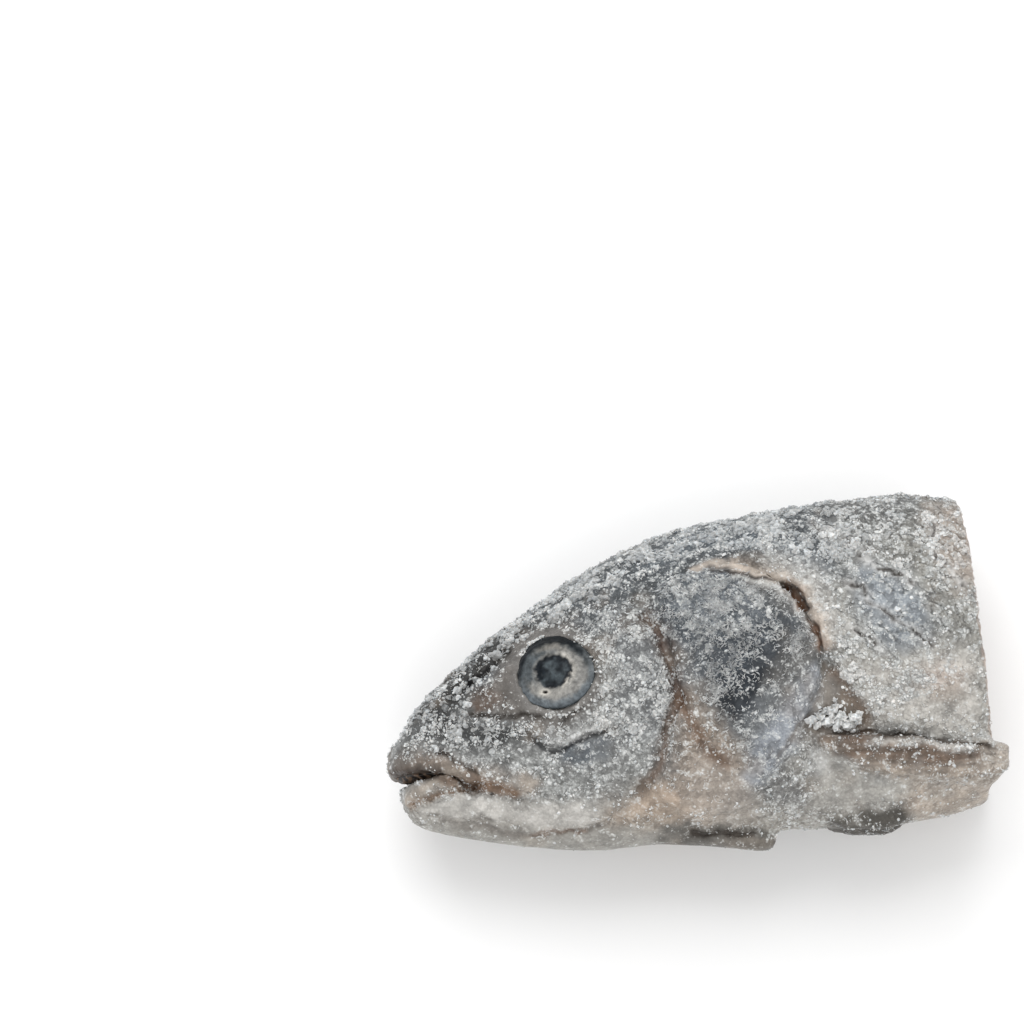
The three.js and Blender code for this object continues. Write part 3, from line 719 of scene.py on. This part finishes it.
flesh = evenTone(points, cutSetup["flesh"]) * (1 + 0.22 * rings)[:, None]
upSection, acrossSection = ((section - cutSetup["backbone"]) / cutSetup["seam"]).T
flesh = paint(flesh, 0.7 * np.exp(-acrossSection ** 2), cutSetup["seamColor"])
flesh = paint(flesh, 0.6 * np.exp(-upSection ** 2), cutSetup["seamColor"])
flesh = paint(flesh, 0.8 * ease(bone + 2.2, bone, fromBone), cutSetup["blood"])
flesh = paint(flesh, ease(bone + 0.3, bone - 0.5, fromBone), cutSetup["boneColor"])
flesh = paint(flesh, 0.8 * ease(pit + 0.6, pit - 0.3, fromBone), cutSetup["pitColor"])
tone += (flesh * (1 + 0.2 * blotches)[:, None] - tone) * cut[:, None]

coverPatches = [  # place, soft edge, cover of film, of grains, of needles
    ("topFrost", 4, 0.55, 0.38, 0.02),
    ("body", 3, 0.66, 0.16, 0.02),
    ("bodyPale", 4, 0.34, 0.12, 0.01),
    ("bodyFlecks", 2.5, 0.75, 0.5, 0.03),
    ("backBeige", 3, 0.5, 0.25, 0.01),
    ("blueBody", 3, 0.52, 0.06, 0.02),
    ("underFrost", 1.5, 0.8, 0.6, 0.1),
    ("preBand", 3, 0.68, 0.5, 0.08),
    ("cheekWhite", 1, 0.8, 1.3, 0.1),
    ("snoutFrost", 2, 0.02, 0.54, 0.2),
    ("cheekLow", 3, 0.5, 0.1, 0.02),
    ("cheekPatch", 1, 0.2, 0.05, 0.02),
    ("gillCover", 1.5, 0.3, 0.1, 0.16),
    ("slateWide", 2, 0.5, 0.2, 0.9),
    ("slateTop", 3, 0.62, 0.3, 1.0),
    ("slateMid", 2, 0.28, 0.05, 0.5),
    ("slateCore", 1.5, 0.1, 0.02, 0.18),
    ("coverDark", 1.5, 0.3, 0.05, 0.3),
    ("opercleTan", 3, 0.36, 0.28, 0.1),
    ("opercleBlue", 1.5, 0.3, 0.03, 0.03),
    ("coverPale", 2, 0.15, 0.04, 0.01),
    ("triangle", 1, 0.05, 0.04, 0.01),
    ("fin", 1, 0.12, 0.15, 0.02),
    ("bellyPink", 1.5, 0.2, 0.04, 0.0),
    ("bellyFrost", 2, 0.45, 0.42, 0.1),
    ("bellyMottle", 1.5, 0.4, 0.25, 0.02),
    ("bellySpot", 1.2, 0.8, 0.4, 0.05),
    ("bellyPale", 2, 0.15, 0.02, 0.0),
    ("throatTan", 3, 0.15, 0.06, 0.02),
    ("gular", 1.5, 0.1, 0.02, 0.0),
    ("jawWhite", 1.5, 0.1, 0.01, 0.0),
    ("jawBone", 1.5, 0.28, 0.25, 0.02),
    ("jawBrown", 1, 0.1, 0.1, 0.02),
    ("orbitBrown", 1.5, 0.1, 0.12, 0.02),
    ("orbitRight", 1, 0.75, 0.45, 0.08),
    ("snoutDark", 2, 0.0, 0.26, 0.05),
    ("snoutPlate", 1, 0.45, 0.2, 0.03),
    ("bellyDark", 1, 0.1, 0.13, 0.02),
    ("finEnd", 1, 0.3, 0.05, 0.0),
    ("cutPink", 3, 0.45, 0.08, 0.01),
]
bareLines = [  # place, half width, how bare
    ("shoulderRim", 1.6, 0.9), ("rimStart", 0.8, 0.8), ("gillSlit", 0.9, 0.9), ("slitOpen", 1.6, 1),
    ("slitLow", 1.2, 0.9), ("upperLip", 1.6, 0.7), ("lowerLip", 1.6, 0.9), ("cheekGroove", 1.2, 0.5),
    ("cheekEdge", 1.2, 0.4), ("interLine", 1.4, 0.6), ("gape", 2.0, 1), ("snoutStreak", 1.2, 0.6),
    ("snoutSlot", 0.8, 1), ("finTop", 0.7, 0.9), ("underEye", 0.7, 0.7), ("vFold", 0.8, 0.8),
    ("coverLow", 0.7, 0.7),
]
coverSetup = {"plain": (0.45, 0.2, 0.02), "cut": (0.22, 0.08, 0)}  # film, grains, needles
filmSetup = {
    "steep": 0.3, "nearEye": 0.15, "mottle": 0.35, "clumps": 0.5,
    "slateClumps": 0.7, "bodyClumps": 0.5, "bodyMottle": 0.9,
}
gathering = {  # each kind lies in groups of this size, and in the crust's clumps, between least and most
    "grains": {"base": 0.5, "groups": 1.4, "size": 3.2, "seed": 8, "clumps": 1.6, "least": 0.03, "most": 2.5},
    "needles": {"base": 0.6, "groups": 1.2, "size": 4, "seed": 9, "clumps": 2.2, "least": 0.04, "most": 2.8},
    "flakes": {"base": 0.1, "groups": 2.5, "size": 6, "seed": 18, "clumps": 0, "least": 0, "most": 2},
    "lumps": {"base": 0.1, "groups": 3, "size": 2.8, "seed": 10, "clumps": 0, "least": 0, "most": 2},
    "clods": {"base": 0, "groups": 2.5, "size": 4, "seed": 31, "clumps": 0, "least": 0, "most": 2},
}


def gathered(name):
    setup = gathering[name]
    groups = setup["groups"] * cloud(points, setup["size"], setup["seed"])
    return np.clip(setup["base"] + groups + setup["clumps"] * clumps, setup["least"], setup["most"])


cover = np.tile(coverSetup["plain"], (len(points), 1))
for name, edge, *amounts in coverPatches:
    weight = kept(name) * inPatch(ragged, places[name], edge)
    cover += (np.array(amounts) - cover) * weight[:, None]
cover[:, 0] += filmSetup["steep"] * steepness * inTop
cover += (np.array(coverSetup["cut"]) - cover) * cut[:, None]
bared = [(places[name], halfWidth, amount * kept(name)) for name, halfWidth, amount in bareLines]
bared += [(crease, crackSetup["bareWidth"], crackSetup["bare"]) for crease in bodyCreases]
for line, halfWidth, amount in bared:
    cover *= (1 - amount * onLine(ragged, line, halfWidth))[:, None]
film, grains, needles = cover.T.copy()
clumping = filmSetup["clumps"] + filmSetup["slateClumps"] * inSlate + filmSetup["bodyClumps"] * onBody
film *= (1 + filmSetup["mottle"] * cloud(points, 5, 40) + clumping * clumps
         + filmSetup["bodyMottle"] * onBody * cloud(points, 3, 46))
film *= filmSetup["nearEye"] + (1 - filmSetup["nearEye"]) * ease(9.5, 13, fromEye)
clear = ease(10.5, 14, fromEye) * ease(0.4, 1.2, points[:, 2])  # none on the eye or the table
airy = clear * (0.4 + 0.6 * ease(-0.6, 0.2, normals[:, 2]))  # more frost where air moved over it
grains += 0.9 * onLine(ragged, places["finRidge"], 0.7)
grains *= airy * gathered("grains")
needles *= clear * ease(-0.1, 0.4, normals[:, 2]) * gathered("needles")
flakes = airy * np.clip(film - 0.5, 0, 1) * gathered("flakes") * (1 - 0.55 * onBody)
lumps = inTop * (1 - 0.7 * ease(92, 108, side[:, 0])) + 0.22 * inSnout
lumps += 0.17 * inPatch(ragged, places["snoutFrost"], 2)
lumps *= airy * (1 - cut) * gathered("lumps")
clods = clear * inSnout * gathered("clods")
piles = clear * inPatch(ragged, places["triangleFrost"], 0.8)
lids = onLine(side, places["lidFrost"], 0.5) + 0.12 * onLine(ragged, places["lidShards"], 0.8)
lids *= ease(0, 0.3, normals[:, 2])
writeAttribute(skin, "tone", np.clip(tone, 0.005, 1))
writeAttribute(skin, "film", np.clip(film, 0, 1))
writeAttribute(skin, "scales", onBody * (1 - 0.8 * inPatch(ragged, places["bodyPale"], 4)))

skinPattern = {  # sizes in millimetres, slant in degrees
    "shake": 1.3, "shakeReach": 1.1, "flake": 1.1, "bead": 0.65, "mottle": 2.4, "fine": 0.5,
    "scale": (5.5, 2.4), "slant": -36, "bump": 0.6,
    "thin": "#757a7c", "thick": "#d8d9d7",
}


def skinMaterial(setup):
    # frozen skin: grey to tan under a broken crust of rime, with painted light and shade on the crust's
    # relief and painted shade in the cracks between flakes, icy where bare
    material, tree, shader = newMaterial("frozenFishSkin")
    where = addNode(tree, "TexCoord", output="Object")
    tone = addNode(tree, "Attribute", attribute_name="tone")
    film = addNode(tree, "Attribute", output="Fac", attribute_name="film")
    scales = addNode(tree, "Attribute", output="Fac", attribute_name="scales")
    shake = addNode(tree, "TexNoise", {"Vector": where, "Scale": perMm(setup["shake"]), "Detail": 3.0},
                    "Color")
    shakeReach = (setup["shakeReach"] * mm,) * 3
    shaken = addNode(tree, "VectorMath", {0: shake, 1: shakeReach, 2: where}, operation="MULTIPLY_ADD")
    inFlakes = {"Vector": shaken, "Scale": perMm(setup["flake"])}
    flakes = addNode(tree, "TexVoronoi", inFlakes, "Color")
    flake = addNode(tree, "SeparateColor", {"Color": flakes})
    edges = addNode(tree, "TexVoronoi", inFlakes, feature="DISTANCE_TO_EDGE")
    beads = addNode(tree, "TexVoronoi", {"Vector": shaken, "Scale": perMm(setup["bead"])})
    mottle = addNode(tree, "TexNoise", {"Vector": where, "Scale": perMm(setup["mottle"]),
                                        "Detail": 3.0, "Roughness": 0.62})
    fine = addNode(tree, "TexNoise", {"Vector": where, "Scale": perMm(setup["fine"]), "Detail": 2.0})
    # grainy is the crust's own relief: flakes, specks and beads
    broken = addNode(tree, "Math", {0: flake, 1: 0.4, 2: mottle}, operation="MULTIPLY_ADD")
    speckled = addNode(tree, "Math", {0: fine, 1: 0.3, 2: broken}, operation="MULTIPLY_ADD")
    grainy = addNode(tree, "Math", {0: beads, 1: -0.45, 2: speckled}, operation="MULTIPLY_ADD")
    # white where the film is thick, the skin's own tone where it is thin; that tone is partly uneven by
    # itself and partly painted lighter where the crust's relief is high and darker where it is low, painted
    # light and shade that follow the bump
    amount = addNode(tree, "Math", {0: film, 1: 0.45, 2: grainy}, operation="MULTIPLY_ADD")
    cover = addNode(tree, "MapRange", {"Value": amount, "From Min": 0.83, "From Max": 1.15,
                                       "To Min": 0.0, "To Max": 0.92})
    shade = addNode(tree, "MapRange", {"Value": grainy, "From Min": 0.3, "From Max": 1.06,
                                       "To Min": 0.55, "To Max": 1.58})
    rough = addNode(tree, "MapRange", {"Value": film, "From Max": 0.4, "To Min": 0.35})
    shadeHere = addNode(tree, "Mix", {0: rough, 2: 1.0, 3: shade})
    under = addNode(tree, "VectorMath", {0: tone, "Scale": shadeHere}, operation="SCALE")
    thickness = addNode(tree, "MapRange", {"Value": grainy, "From Min": 0.42, "From Max": 0.98})
    whites = {0: thickness, 6: linearColor(setup["thin"]), 7: linearColor(setup["thick"])}
    crust = addNode(tree, "Mix", whites, 2, data_type="RGBA")
    color = addNode(tree, "Mix", {0: cover, 6: under, 7: crust}, 2, data_type="RGBA")
    # dark edges of flakes, and gaps between slanted rows of scales on the body: the low places of the bump,
    # darkened with painted shade
    edge = addNode(tree, "MapRange", {"Value": edges, "From Min": 0.0, "From Max": 0.1,
                                      "To Min": 0.3, "To Max": 0.0})
    edgeHere = addNode(tree, "Math", {0: edge, 1: cover}, operation="MULTIPLY")
    crack = addNode(tree, "Math", {0: 1.0, 1: edgeHere}, operation="SUBTRACT")
    long, wide = setup["scale"]
    slant = addNode(tree, "Mapping", {"Vector": shaken, "Rotation": (0, 0, math.radians(setup["slant"])),
                                      "Scale": (long * mm, wide * mm, long * mm)}, vector_type="TEXTURE")
    rows = addNode(tree, "TexVoronoi", {"Vector": slant, "Scale": 1.0}, feature="DISTANCE_TO_EDGE")
    gap = addNode(tree, "MapRange", {"Value": rows, "From Min": 0.015, "From Max": 0.09,
                                     "To Min": 0.5, "To Max": 0.0})
    parted = addNode(tree, "MapRange", {"Value": mottle, "From Min": 0.45, "From Max": 0.58})
    gapOpen = addNode(tree, "Math", {0: gap, 1: parted}, operation="MULTIPLY")
    gapHere = addNode(tree, "Math", {0: gapOpen, 1: scales}, operation="MULTIPLY")
    dark = addNode(tree, "Math", {0: crack, 1: gapHere}, operation="SUBTRACT")
    cracked = addNode(tree, "VectorMath", {0: color, "Scale": dark}, operation="SCALE")
    dull = addNode(tree, "MapRange", {"Value": cover, "To Min": 0.4, "To Max": 0.75})
    raised = addNode(tree, "Math", {0: grainy, 1: dark}, operation="ADD")
    bump = addNode(tree, "Bump", {"Height": raised, "Strength": rough, "Distance": setup["bump"] * mm})
    setInputs(tree, shader, {"Base Color": cracked, "Roughness": dull, "IOR": 1.36, "Normal": bump})
    return material


skin.data.materials.append(skinMaterial(skinPattern))
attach(skin, "root")
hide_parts("head")

print("frost: grains, crumbs, needles and piles")


def spread(piece, density, colors, count, draw):
    # random places on a mesh, closer together where the density is higher, with the colour beneath
    mesh = piece.data
    mesh.calc_loop_triangles()
    rows = np.empty(len(mesh.loop_triangles) * 3, np.int32)
    mesh.loop_triangles.foreach_get("vertices", rows)
    rows = rows.reshape(-1, 3)
    p = readPoints(piece)[rows]
    area = np.linalg.norm(np.cross(p[:, 1] - p[:, 0], p[:, 2] - p[:, 0]), axis=1)
    weight = area * np.clip(density, 0, None)[rows].mean(axis=1)
    chosen = draw.choice(len(rows), count, p=weight / weight.sum())
    share = draw.dirichlet((1, 1, 1), count)[:, :, None]
    normal = (readNormals(piece)[rows[chosen]] * share).sum(axis=1)
    normal /= np.linalg.norm(normal, axis=1)[:, None]
    return (p[chosen] * share).sum(axis=1), normal, (colors[rows[chosen]] * share).sum(axis=1)


def axesOn(normal, tilt, draw):
    # two axes that lie on the surface, turned at random, and one that leaves it, a little tilted
    third = normal + tilt * draw.normal(size=normal.shape)
    third /= np.linalg.norm(third, axis=1)[:, None]
    first = np.cross(third, draw.normal(size=normal.shape))
    first /= np.linalg.norm(first, axis=1)[:, None]
    return np.stack([first, np.cross(third, first), third], axis=1)


def ball(detail):
    bpy.ops.object.select_all(action="DESELECT")
    bpy.ops.mesh.primitive_ico_sphere_add(subdivisions=detail, radius=1)
    mesh = bpy.context.object.data
    points = np.array([v.co for v in mesh.vertices])
    faces = np.array([f.vertices for f in mesh.polygons])
    bpy.ops.object.delete()
    return points, faces


# each gives a number of shapes of about radius 1 and the faces that they share
def lumpShapes(kinds, draw):
    points, faces = ball(2)  # no draw here: the swelling is a cloud
    swell = [1 + 0.7 * cloud(points + 9 * kind, 0.9, 15) for kind in range(kinds)]
    return points * np.array(swell)[:, :, None] * (1, 0.85, 0.75), faces


def grainShapes(kinds, draw):
    points, faces = ball(1)
    return points * draw.uniform(0.65, 1.3, (kinds, len(points), 1)), faces


def flakeShapes(kinds, draw):
    points, faces = ball(1)
    return points * draw.uniform(0.5, 1.4, (kinds, len(points), 1)) * (1.2, 0.9, 0.3), faces


def crumbShapes(kinds, draw):
    points = np.vstack([np.eye(3), -np.eye(3)])
    faces = np.array([(0, 1, 2), (1, 3, 2), (3, 4, 2), (4, 0, 2), (1, 0, 5), (3, 1, 5), (4, 3, 5), (0, 4, 5)])
    return points * draw.uniform(0.6, 1.4, (kinds, len(points), 1)), faces


def needleShapes(kinds, draw):
    # three-sided curls of length 1, in four rings, thin at the ends
    along = np.linspace(-0.5, 0.5, 4)
    thick = np.array([0.07, 0.15, 0.13, 0.06])
    turn = np.arange(3) * 2 * math.pi / 3
    bend = draw.uniform(-1.3, 1.3, (kinds, 1))
    twist = draw.uniform(-1.5, 1.5, (kinds, 1))
    arch = draw.uniform(-0.2, 0.9, (kinds, 1))
    sideways = bend * along ** 2 + twist * along ** 3 * 2
    middle = np.stack([np.tile(along, (kinds, 1)), sideways, arch * along ** 2], axis=2)
    ring = thick[:, None, None] * np.stack([turn * 0, np.cos(turn), np.sin(turn)], axis=1)[None]
    points = (middle[:, :, None] + ring[None]).reshape(kinds, 12, 3)
    faces = [(2, 1, 0), (9, 10, 11)]
    for low in (0, 3, 6):
        for i in range(3):
            a, b = low + i, low + (i + 1) % 3
            faces += [(a, b, b + 3), (a, b + 3, a + 3)]
    return points, np.array(faces)


def joinedCopies(name, shapes, faces, place, axes, size, draw):
    # one mesh of many small shapes, none of it under the table
    which = draw.integers(len(shapes), size=len(place))
    points = place[:, None] + np.einsum("nvk,nkc->nvc", shapes[which] * size[:, None, None], axes)
    points[..., 2] = np.maximum(points[..., 2], 0.05)
    rows = faces[None] + shapes.shape[1] * np.arange(len(place))[:, None, None]
    mesh = bpy.data.meshes.new(name)
    mesh.from_pydata((points.reshape(-1, 3) * mm + corner).tolist(), [], rows.reshape(-1, 3).tolist())
    piece = bpy.data.objects.new(name, mesh)
    bpy.context.collection.objects.link(piece)
    return piece


def rimeMaterial():
    # rime: white ice crystals, dull, the clear ones showing the colour of what they lie on
    material, tree, shader = newMaterial("rimeFrost")
    where = addNode(tree, "TexCoord", output="Object")
    tone = addNode(tree, "Attribute", attribute_name="tone")
    clear = addNode(tree, "TexNoise", {"Vector": where, "Scale": perMm(0.7), "Detail": 2.0})
    shade = addNode(tree, "MapRange", {"Value": clear, "From Min": 0.35, "From Max": 0.65,
                                       "To Min": 0.7, "To Max": 1.25})
    color = addNode(tree, "VectorMath", {0: tone, "Scale": shade}, operation="SCALE")
    setInputs(tree, shader, {
        "Base Color": color, "Roughness": 0.5, "IOR": 1.31, "Subsurface Weight": 0.4,
        "Subsurface Radius": (0.5 * mm, 0.6 * mm, 0.7 * mm), "Subsurface Scale": 1.0,
    })
    return material


frostKinds = {  # size in millimetres and how white, each from and to; lift in sizes of the crystal
    "rimeClods": {"shapes": lumpShapes, "cover": clods, "count": 90, "size": (0.5, 1.5),
                  "lift": 0.0, "tilt": 0.4, "white": (0.1, 0.6), "seed": 26},
    "rimeLumps": {"shapes": lumpShapes, "cover": lumps, "count": 2200, "size": (0.45, 1.4),
                  "lift": -0.2, "tilt": 0.4, "white": (0.25, 0.8), "seed": 20},
    "rimeFlakes": {"shapes": flakeShapes, "cover": flakes, "count": 1300, "size": (0.3, 0.9),
                   "lift": 0.0, "tilt": 0.2, "white": (0.3, 0.9), "seed": 25},
    "rimeGrains": {"shapes": grainShapes, "cover": grains, "count": 5500, "size": (0.2, 0.6),
                   "lift": -0.05, "tilt": 0.5, "white": (0.25, 0.95), "seed": 21},
    "rimeCrumbs": {"shapes": crumbShapes, "cover": grains + 0.01, "count": 11000, "size": (0.13, 0.32),
                   "lift": 0.1, "tilt": 0.8, "white": (0.2, 1), "seed": 22},
    "rimeNeedles": {"shapes": needleShapes, "cover": needles, "count": 5600, "size": (0.5, 1.6),
                    "lift": 0.08, "tilt": 0.4, "white": (0.1, 0.95), "seed": 23},
    "rimePiles": {"shapes": flakeShapes, "cover": piles, "count": 280, "size": (0.45, 1.4),
                  "lift": 0.4, "tilt": 0.9, "white": (0.75, 1), "seed": 29, "heap": 0.35},
    "rimeLids": {"shapes": flakeShapes, "cover": lids, "count": 150, "size": (0.25, 0.8),
                 "lift": 0.1, "tilt": 0.8, "white": (0.6, 1), "seed": 27},
}
rime = rimeMaterial()
rimeColor = rgb("#d4d6d6")
shapesOfEach = 12
for name, kind in frostKinds.items():
    draw = np.random.default_rng(kind["seed"])
    count = kind["count"]
    place, normal, beneath = spread(skin, kind["cover"], tone, count, draw)
    small, large = kind["size"]
    size = small + (large - small) * draw.beta(1.1, 3.2, count)  # many small ones, few large ones
    place += normal * (size * kind["lift"])[:, None]
    if "heap" in kind:
        place += normal * draw.gamma(1.2, kind["heap"], (count, 1))
    shapes, faces = kind["shapes"](shapesOfEach, draw)
    frost = joinedCopies(name, shapes, faces, place, axesOn(normal, kind["tilt"], draw), size, draw)
    inClump = ease(-0.6, 0.6, cloud(place, crustSetup["clumpSize"], crustSetup["clumpSeed"]))
    white = np.interp(0.65 * inClump + 0.35 * draw.uniform(size=count), (0, 1), kind["white"])[:, None]
    crystal = np.clip(beneath, 0.02, 1) * (1 - white) + rimeColor * white
    writeAttribute(frost, "tone", np.repeat(crystal, shapes.shape[1], axis=0))
    frost.data.materials.append(rime)
    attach(frost, "root")
    print(name, len(frost.data.polygons), "triangles")

print("mouth")
mouthSetup = {
    "middle": (11, 16.2, 21.8), "reach": (8.6, 2.0, 9), "lumps": 0.9, "lumpSize": 1.3,
    "clots": 1.1, "dark": "#140c07", "brown": "#6b5645",
}


def mouthMaterial(setup):
    # the palate in the mouth's gap: brown clots of dried blood and ice over nearly black, the nearly black
    # being painted shade of the mouth's inside
    material, tree, shader = newMaterial("frozenPalate")
    where = addNode(tree, "TexCoord", output="Object")
    clots = addNode(tree, "TexNoise", {"Vector": where, "Scale": perMm(setup["clots"]), "Detail": 3.0})
    brown = addNode(tree, "MapRange", {"Value": clots, "From Min": 0.46, "From Max": 0.58})
    browns = {0: brown, 6: linearColor(setup["dark"]), 7: linearColor(setup["brown"])}
    color = addNode(tree, "Mix", browns, 2, data_type="RGBA")
    setInputs(tree, shader, {"Base Color": color, "Roughness": 0.5})
    return material


bpy.ops.object.select_all(action="DESELECT")
bpy.ops.mesh.primitive_uv_sphere_add(segments=64, ring_count=32, radius=1)
palate = bpy.context.object
palate.name = "palate"
flat = np.array([v.co for v in palate.data.vertices])
points = flat * mouthSetup["reach"] + mouthSetup["middle"]
lumpy = mouthSetup["lumps"] * cloud(points, mouthSetup["lumpSize"], 17)
writePoints(palate, points + flat * lumpy[:, None])
smoothShaded(palate)
palate.data.materials.append(mouthMaterial(mouthSetup))
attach(palate, "root")

print("eyes")
eyeSetup = {
    "voxel": 0.2 * mm, "smoothing": 12, "spread": 0.035, "sink": 0.7,
    "middle": (36.5, 37.5), "outline": (8.7, 8.2, 7.8),  # half width, height over and under the middle
    "swirl": 1.1, "bump": 0.2, "iris": "#7c7b78", "pupil": "#0c1218", "veil": "#495155",
    "pupilEdge": (4.35, 3.6), "veilEdge": (3.7, 2.4), "pupilDepth": 0.35,
    "ring": 8, "ringWidth": 0.7, "ringDepth": 0.25, "rimDrop": 2.2,
    "crack": [(38, 33.2), (39, 35), (40, 36.3), (40.4, 37.4)], "crackWidth": 0.35, "crackHeight": 0.3,
    "crackIce": "#b5b1a9", "hole": (34.7, 33), "holeDepth": 0.5, "holeIce": "#b3afa7", "holeDark": "#15100c",
    "arcs": [  # direction in degrees, reach to each side, from and to this distance, colour, strength
        # painted shade: this arc and the next darken the upper left and the top of the iris, as if the lid
        # shaded them
        (155, 55, 4.2, 7.6, "#3b4348", 0.85),
        (95, 35, 5.2, 7.3, "#67645f", 0.8),
        # painted shade: the upper right of the dark ring darker
        (42, 25, 6.2, 8.6, "#394146", 0.8),
        # painted light: this arc and the next make the lower and the right part of the ring lighter, as if
        # lit from above
        (270, 70, 6.8, 9, "#5d656b", 0.8),
        (350, 35, 7.2, 9, "#666e73", 0.7),
        # painted light: the lower part of the iris lighter
        (265, 45, 4.3, 6, "#8f8d88", 0.7),
        # the iris's pale inner edge on the pupil's right, with a painted highlight
        (15, 60, 4.2, 4.7, "#b3afa7", 0.7),
        (275, 85, 7.9, 10.5, "#4b5257", 0.75),
        # painted shade: the nearly black crescent over the top of the eye, where the rim of the orbit shades
        # it
        (108, 80, 6.5, 10.5, "#0a1015", 0.97),
    ],
}


def eyeMaterial(setup):
    # frozen eye: cloudy pupil, pale iris, dark ring, under a thin film of ice
    material, tree, shader = newMaterial("frozenEye")
    where = addNode(tree, "TexCoord", output="Object")
    tone = addNode(tree, "Attribute", attribute_name="tone")
    swirl = addNode(tree, "TexNoise", {"Vector": where, "Scale": perMm(setup["swirl"]),
                                       "Detail": 5.0, "Distortion": 1.2})
    shade = addNode(tree, "MapRange", {"Value": swirl, "From Min": 0.3, "From Max": 0.7,
                                       "To Min": 0.72, "To Max": 1.3})
    color = addNode(tree, "VectorMath", {0: tone, "Scale": shade}, operation="SCALE")
    bump = addNode(tree, "Bump", {"Height": swirl, "Strength": 0.4, "Distance": setup["bump"] * mm})
    setInputs(tree, shader, {
        "Base Color": color, "Roughness": 0.45, "IOR": 1.34, "Specular IOR Level": 0.2, "Normal": bump,
    })
    return material


frozenEye = eyeMaterial(eyeSetup)
for node, name in (("eye_left", "leftEye"), ("eye_right", "rightEye")):
    eye = copyOfNode(node, name)
    applied(eye, "REMESH", mode="VOXEL", voxel_size=eyeSetup["voxel"])
    smoothed(eye, eyeSetup["smoothing"])
    points = readPoints(eye)
    away = points - points.mean(axis=0)
    outward = np.linalg.svd(away[::7], full_matrices=False)[2][2]  # the short way through the eyeball
    outward *= np.sign(outward[2]) * (1 if name == "leftEye" else -1)
    depth = away @ outward
    front = ease(-0.5, 0.5, depth)
    flat = points[:, :2] - eyeSetup["middle"]
    wide, high, low = eyeSetup["outline"]
    outline = np.hypot(flat[:, 0] / wide, flat[:, 1] / np.where(flat[:, 1] > 0, high, low))
    rim = np.hypot(flat[:, 0], 1.07 * flat[:, 1])
    rough = rim + 0.3 * cloud(points, 1.2, 11) + 0.2 * cloud(points, 0.6, 32)
    turn = np.degrees(np.arctan2(flat[:, 1], flat[:, 0])) + 18 * cloud(points, 1.6, 12)
    tone = evenTone(points, eyeSetup["iris"])
    for middle, reach, near, far, code, strength in eyeSetup["arcs"]:
        aside = np.abs((turn - middle + 180) % 360 - 180)
        band = ease(near - 0.6, near + 0.6, rough) * ease(far + 0.6, far - 0.6, rough)
        tone = paint(tone, strength * band * ease(reach + 22, reach - 22, aside), code)
    tone = paint(tone, ease(*eyeSetup["pupilEdge"], rough + 0.35 * cloud(points, 0.8, 33)), eyeSetup["pupil"])
    veil = ease(*eyeSetup["veilEdge"], rough + 1.6 * cloud(points, 1.8, 14))
    tone = paint(tone, 0.7 * veil * ease(-0.9, 0.7, cloud(points, 1.3, 38)), eyeSetup["veil"])
    crack = onLine(points[:, :2] + 0.3 * sway(points, 0.7, 34), eyeSetup["crack"], eyeSetup["crackWidth"])
    tone = paint(tone, 0.8 * crack * ease(-0.3, 0.3, cloud(points, 1, 37)), eyeSetup["crackIce"])
    fromHole = length((points[:, :2] - eyeSetup["hole"]) * (0.7, 1.2))
    tone = paint(tone, 0.7 * ease(1.1, 0.6, fromHole), eyeSetup["holeIce"])
    tone = paint(tone, ease(0.45, 0.25, fromHole), eyeSetup["holeDark"])
    tone *= (1 + 0.4 * cloud(points, 0.7, 36))[:, None]
    rise = 0.1 * cloud(points, 0.9, 13) + eyeSetup["crackHeight"] * crack
    rise -= eyeSetup["pupilDepth"] * ease(4.5, 3.6, rough)
    rise -= eyeSetup["ringDepth"] * np.exp(-((rim - eyeSetup["ring"]) / eyeSetup["ringWidth"]) ** 2)
    rise -= eyeSetup["holeDepth"] * ease(0.5, 0.2, fromHole)
    rise -= eyeSetup["rimDrop"] * ease(0.98, 1.12, outline)  # under the lid
    points += (away - depth[:, None] * outward) * eyeSetup["spread"] - outward * eyeSetup["sink"]
    writePoints(eye, points + readNormals(eye) * (rise * front)[:, None])
    writeAttribute(eye, "tone", tone)
    smoothShaded(eye)
    eye.data.materials.append(frozenEye)
    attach(eye, "root")
    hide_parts(node)

print("stage")
stageSetup = {"floor": 6, "table": "#f4f4f4", "sky": 0.8}
bpy.ops.mesh.primitive_plane_add(size=stageSetup["floor"], location=(0, 0, 0))
floor = bpy.context.object
floor.name = "floor"
material, tree, shader = newMaterial("paleTable")
setInputs(tree, shader, {"Base Color": linearColor(stageSetup["table"]), "Roughness": 0.8})
floor.data.materials.append(material)

lightSetup = {
    "key": {"place": (-0.15, 0.7, 0.9), "size": 0.9, "watts": 8},
    "fill": {"place": (0.2, -0.9, 0.9), "size": 1.2, "watts": 4},
}
for name, setup in lightSetup.items():
    bpy.ops.object.light_add(type="AREA", location=setup["place"])
    light = bpy.context.object
    light.name = name
    light.data.size = setup["size"]
    light.data.energy = setup["watts"]
    light.rotation_euler = (-Vector(setup["place"])).to_track_quat("-Z", "Y").to_euler()
world = bpy.data.worlds.new("studio")
bpy.context.scene.world = world
world.use_nodes = True
sky = world.node_tree.nodes["Background"]
setInputs(world.node_tree, sky, {"Color": (1, 1, 1, 1), "Strength": stageSetup["sky"]})
bpy.context.scene.view_settings.view_transform = "Standard"
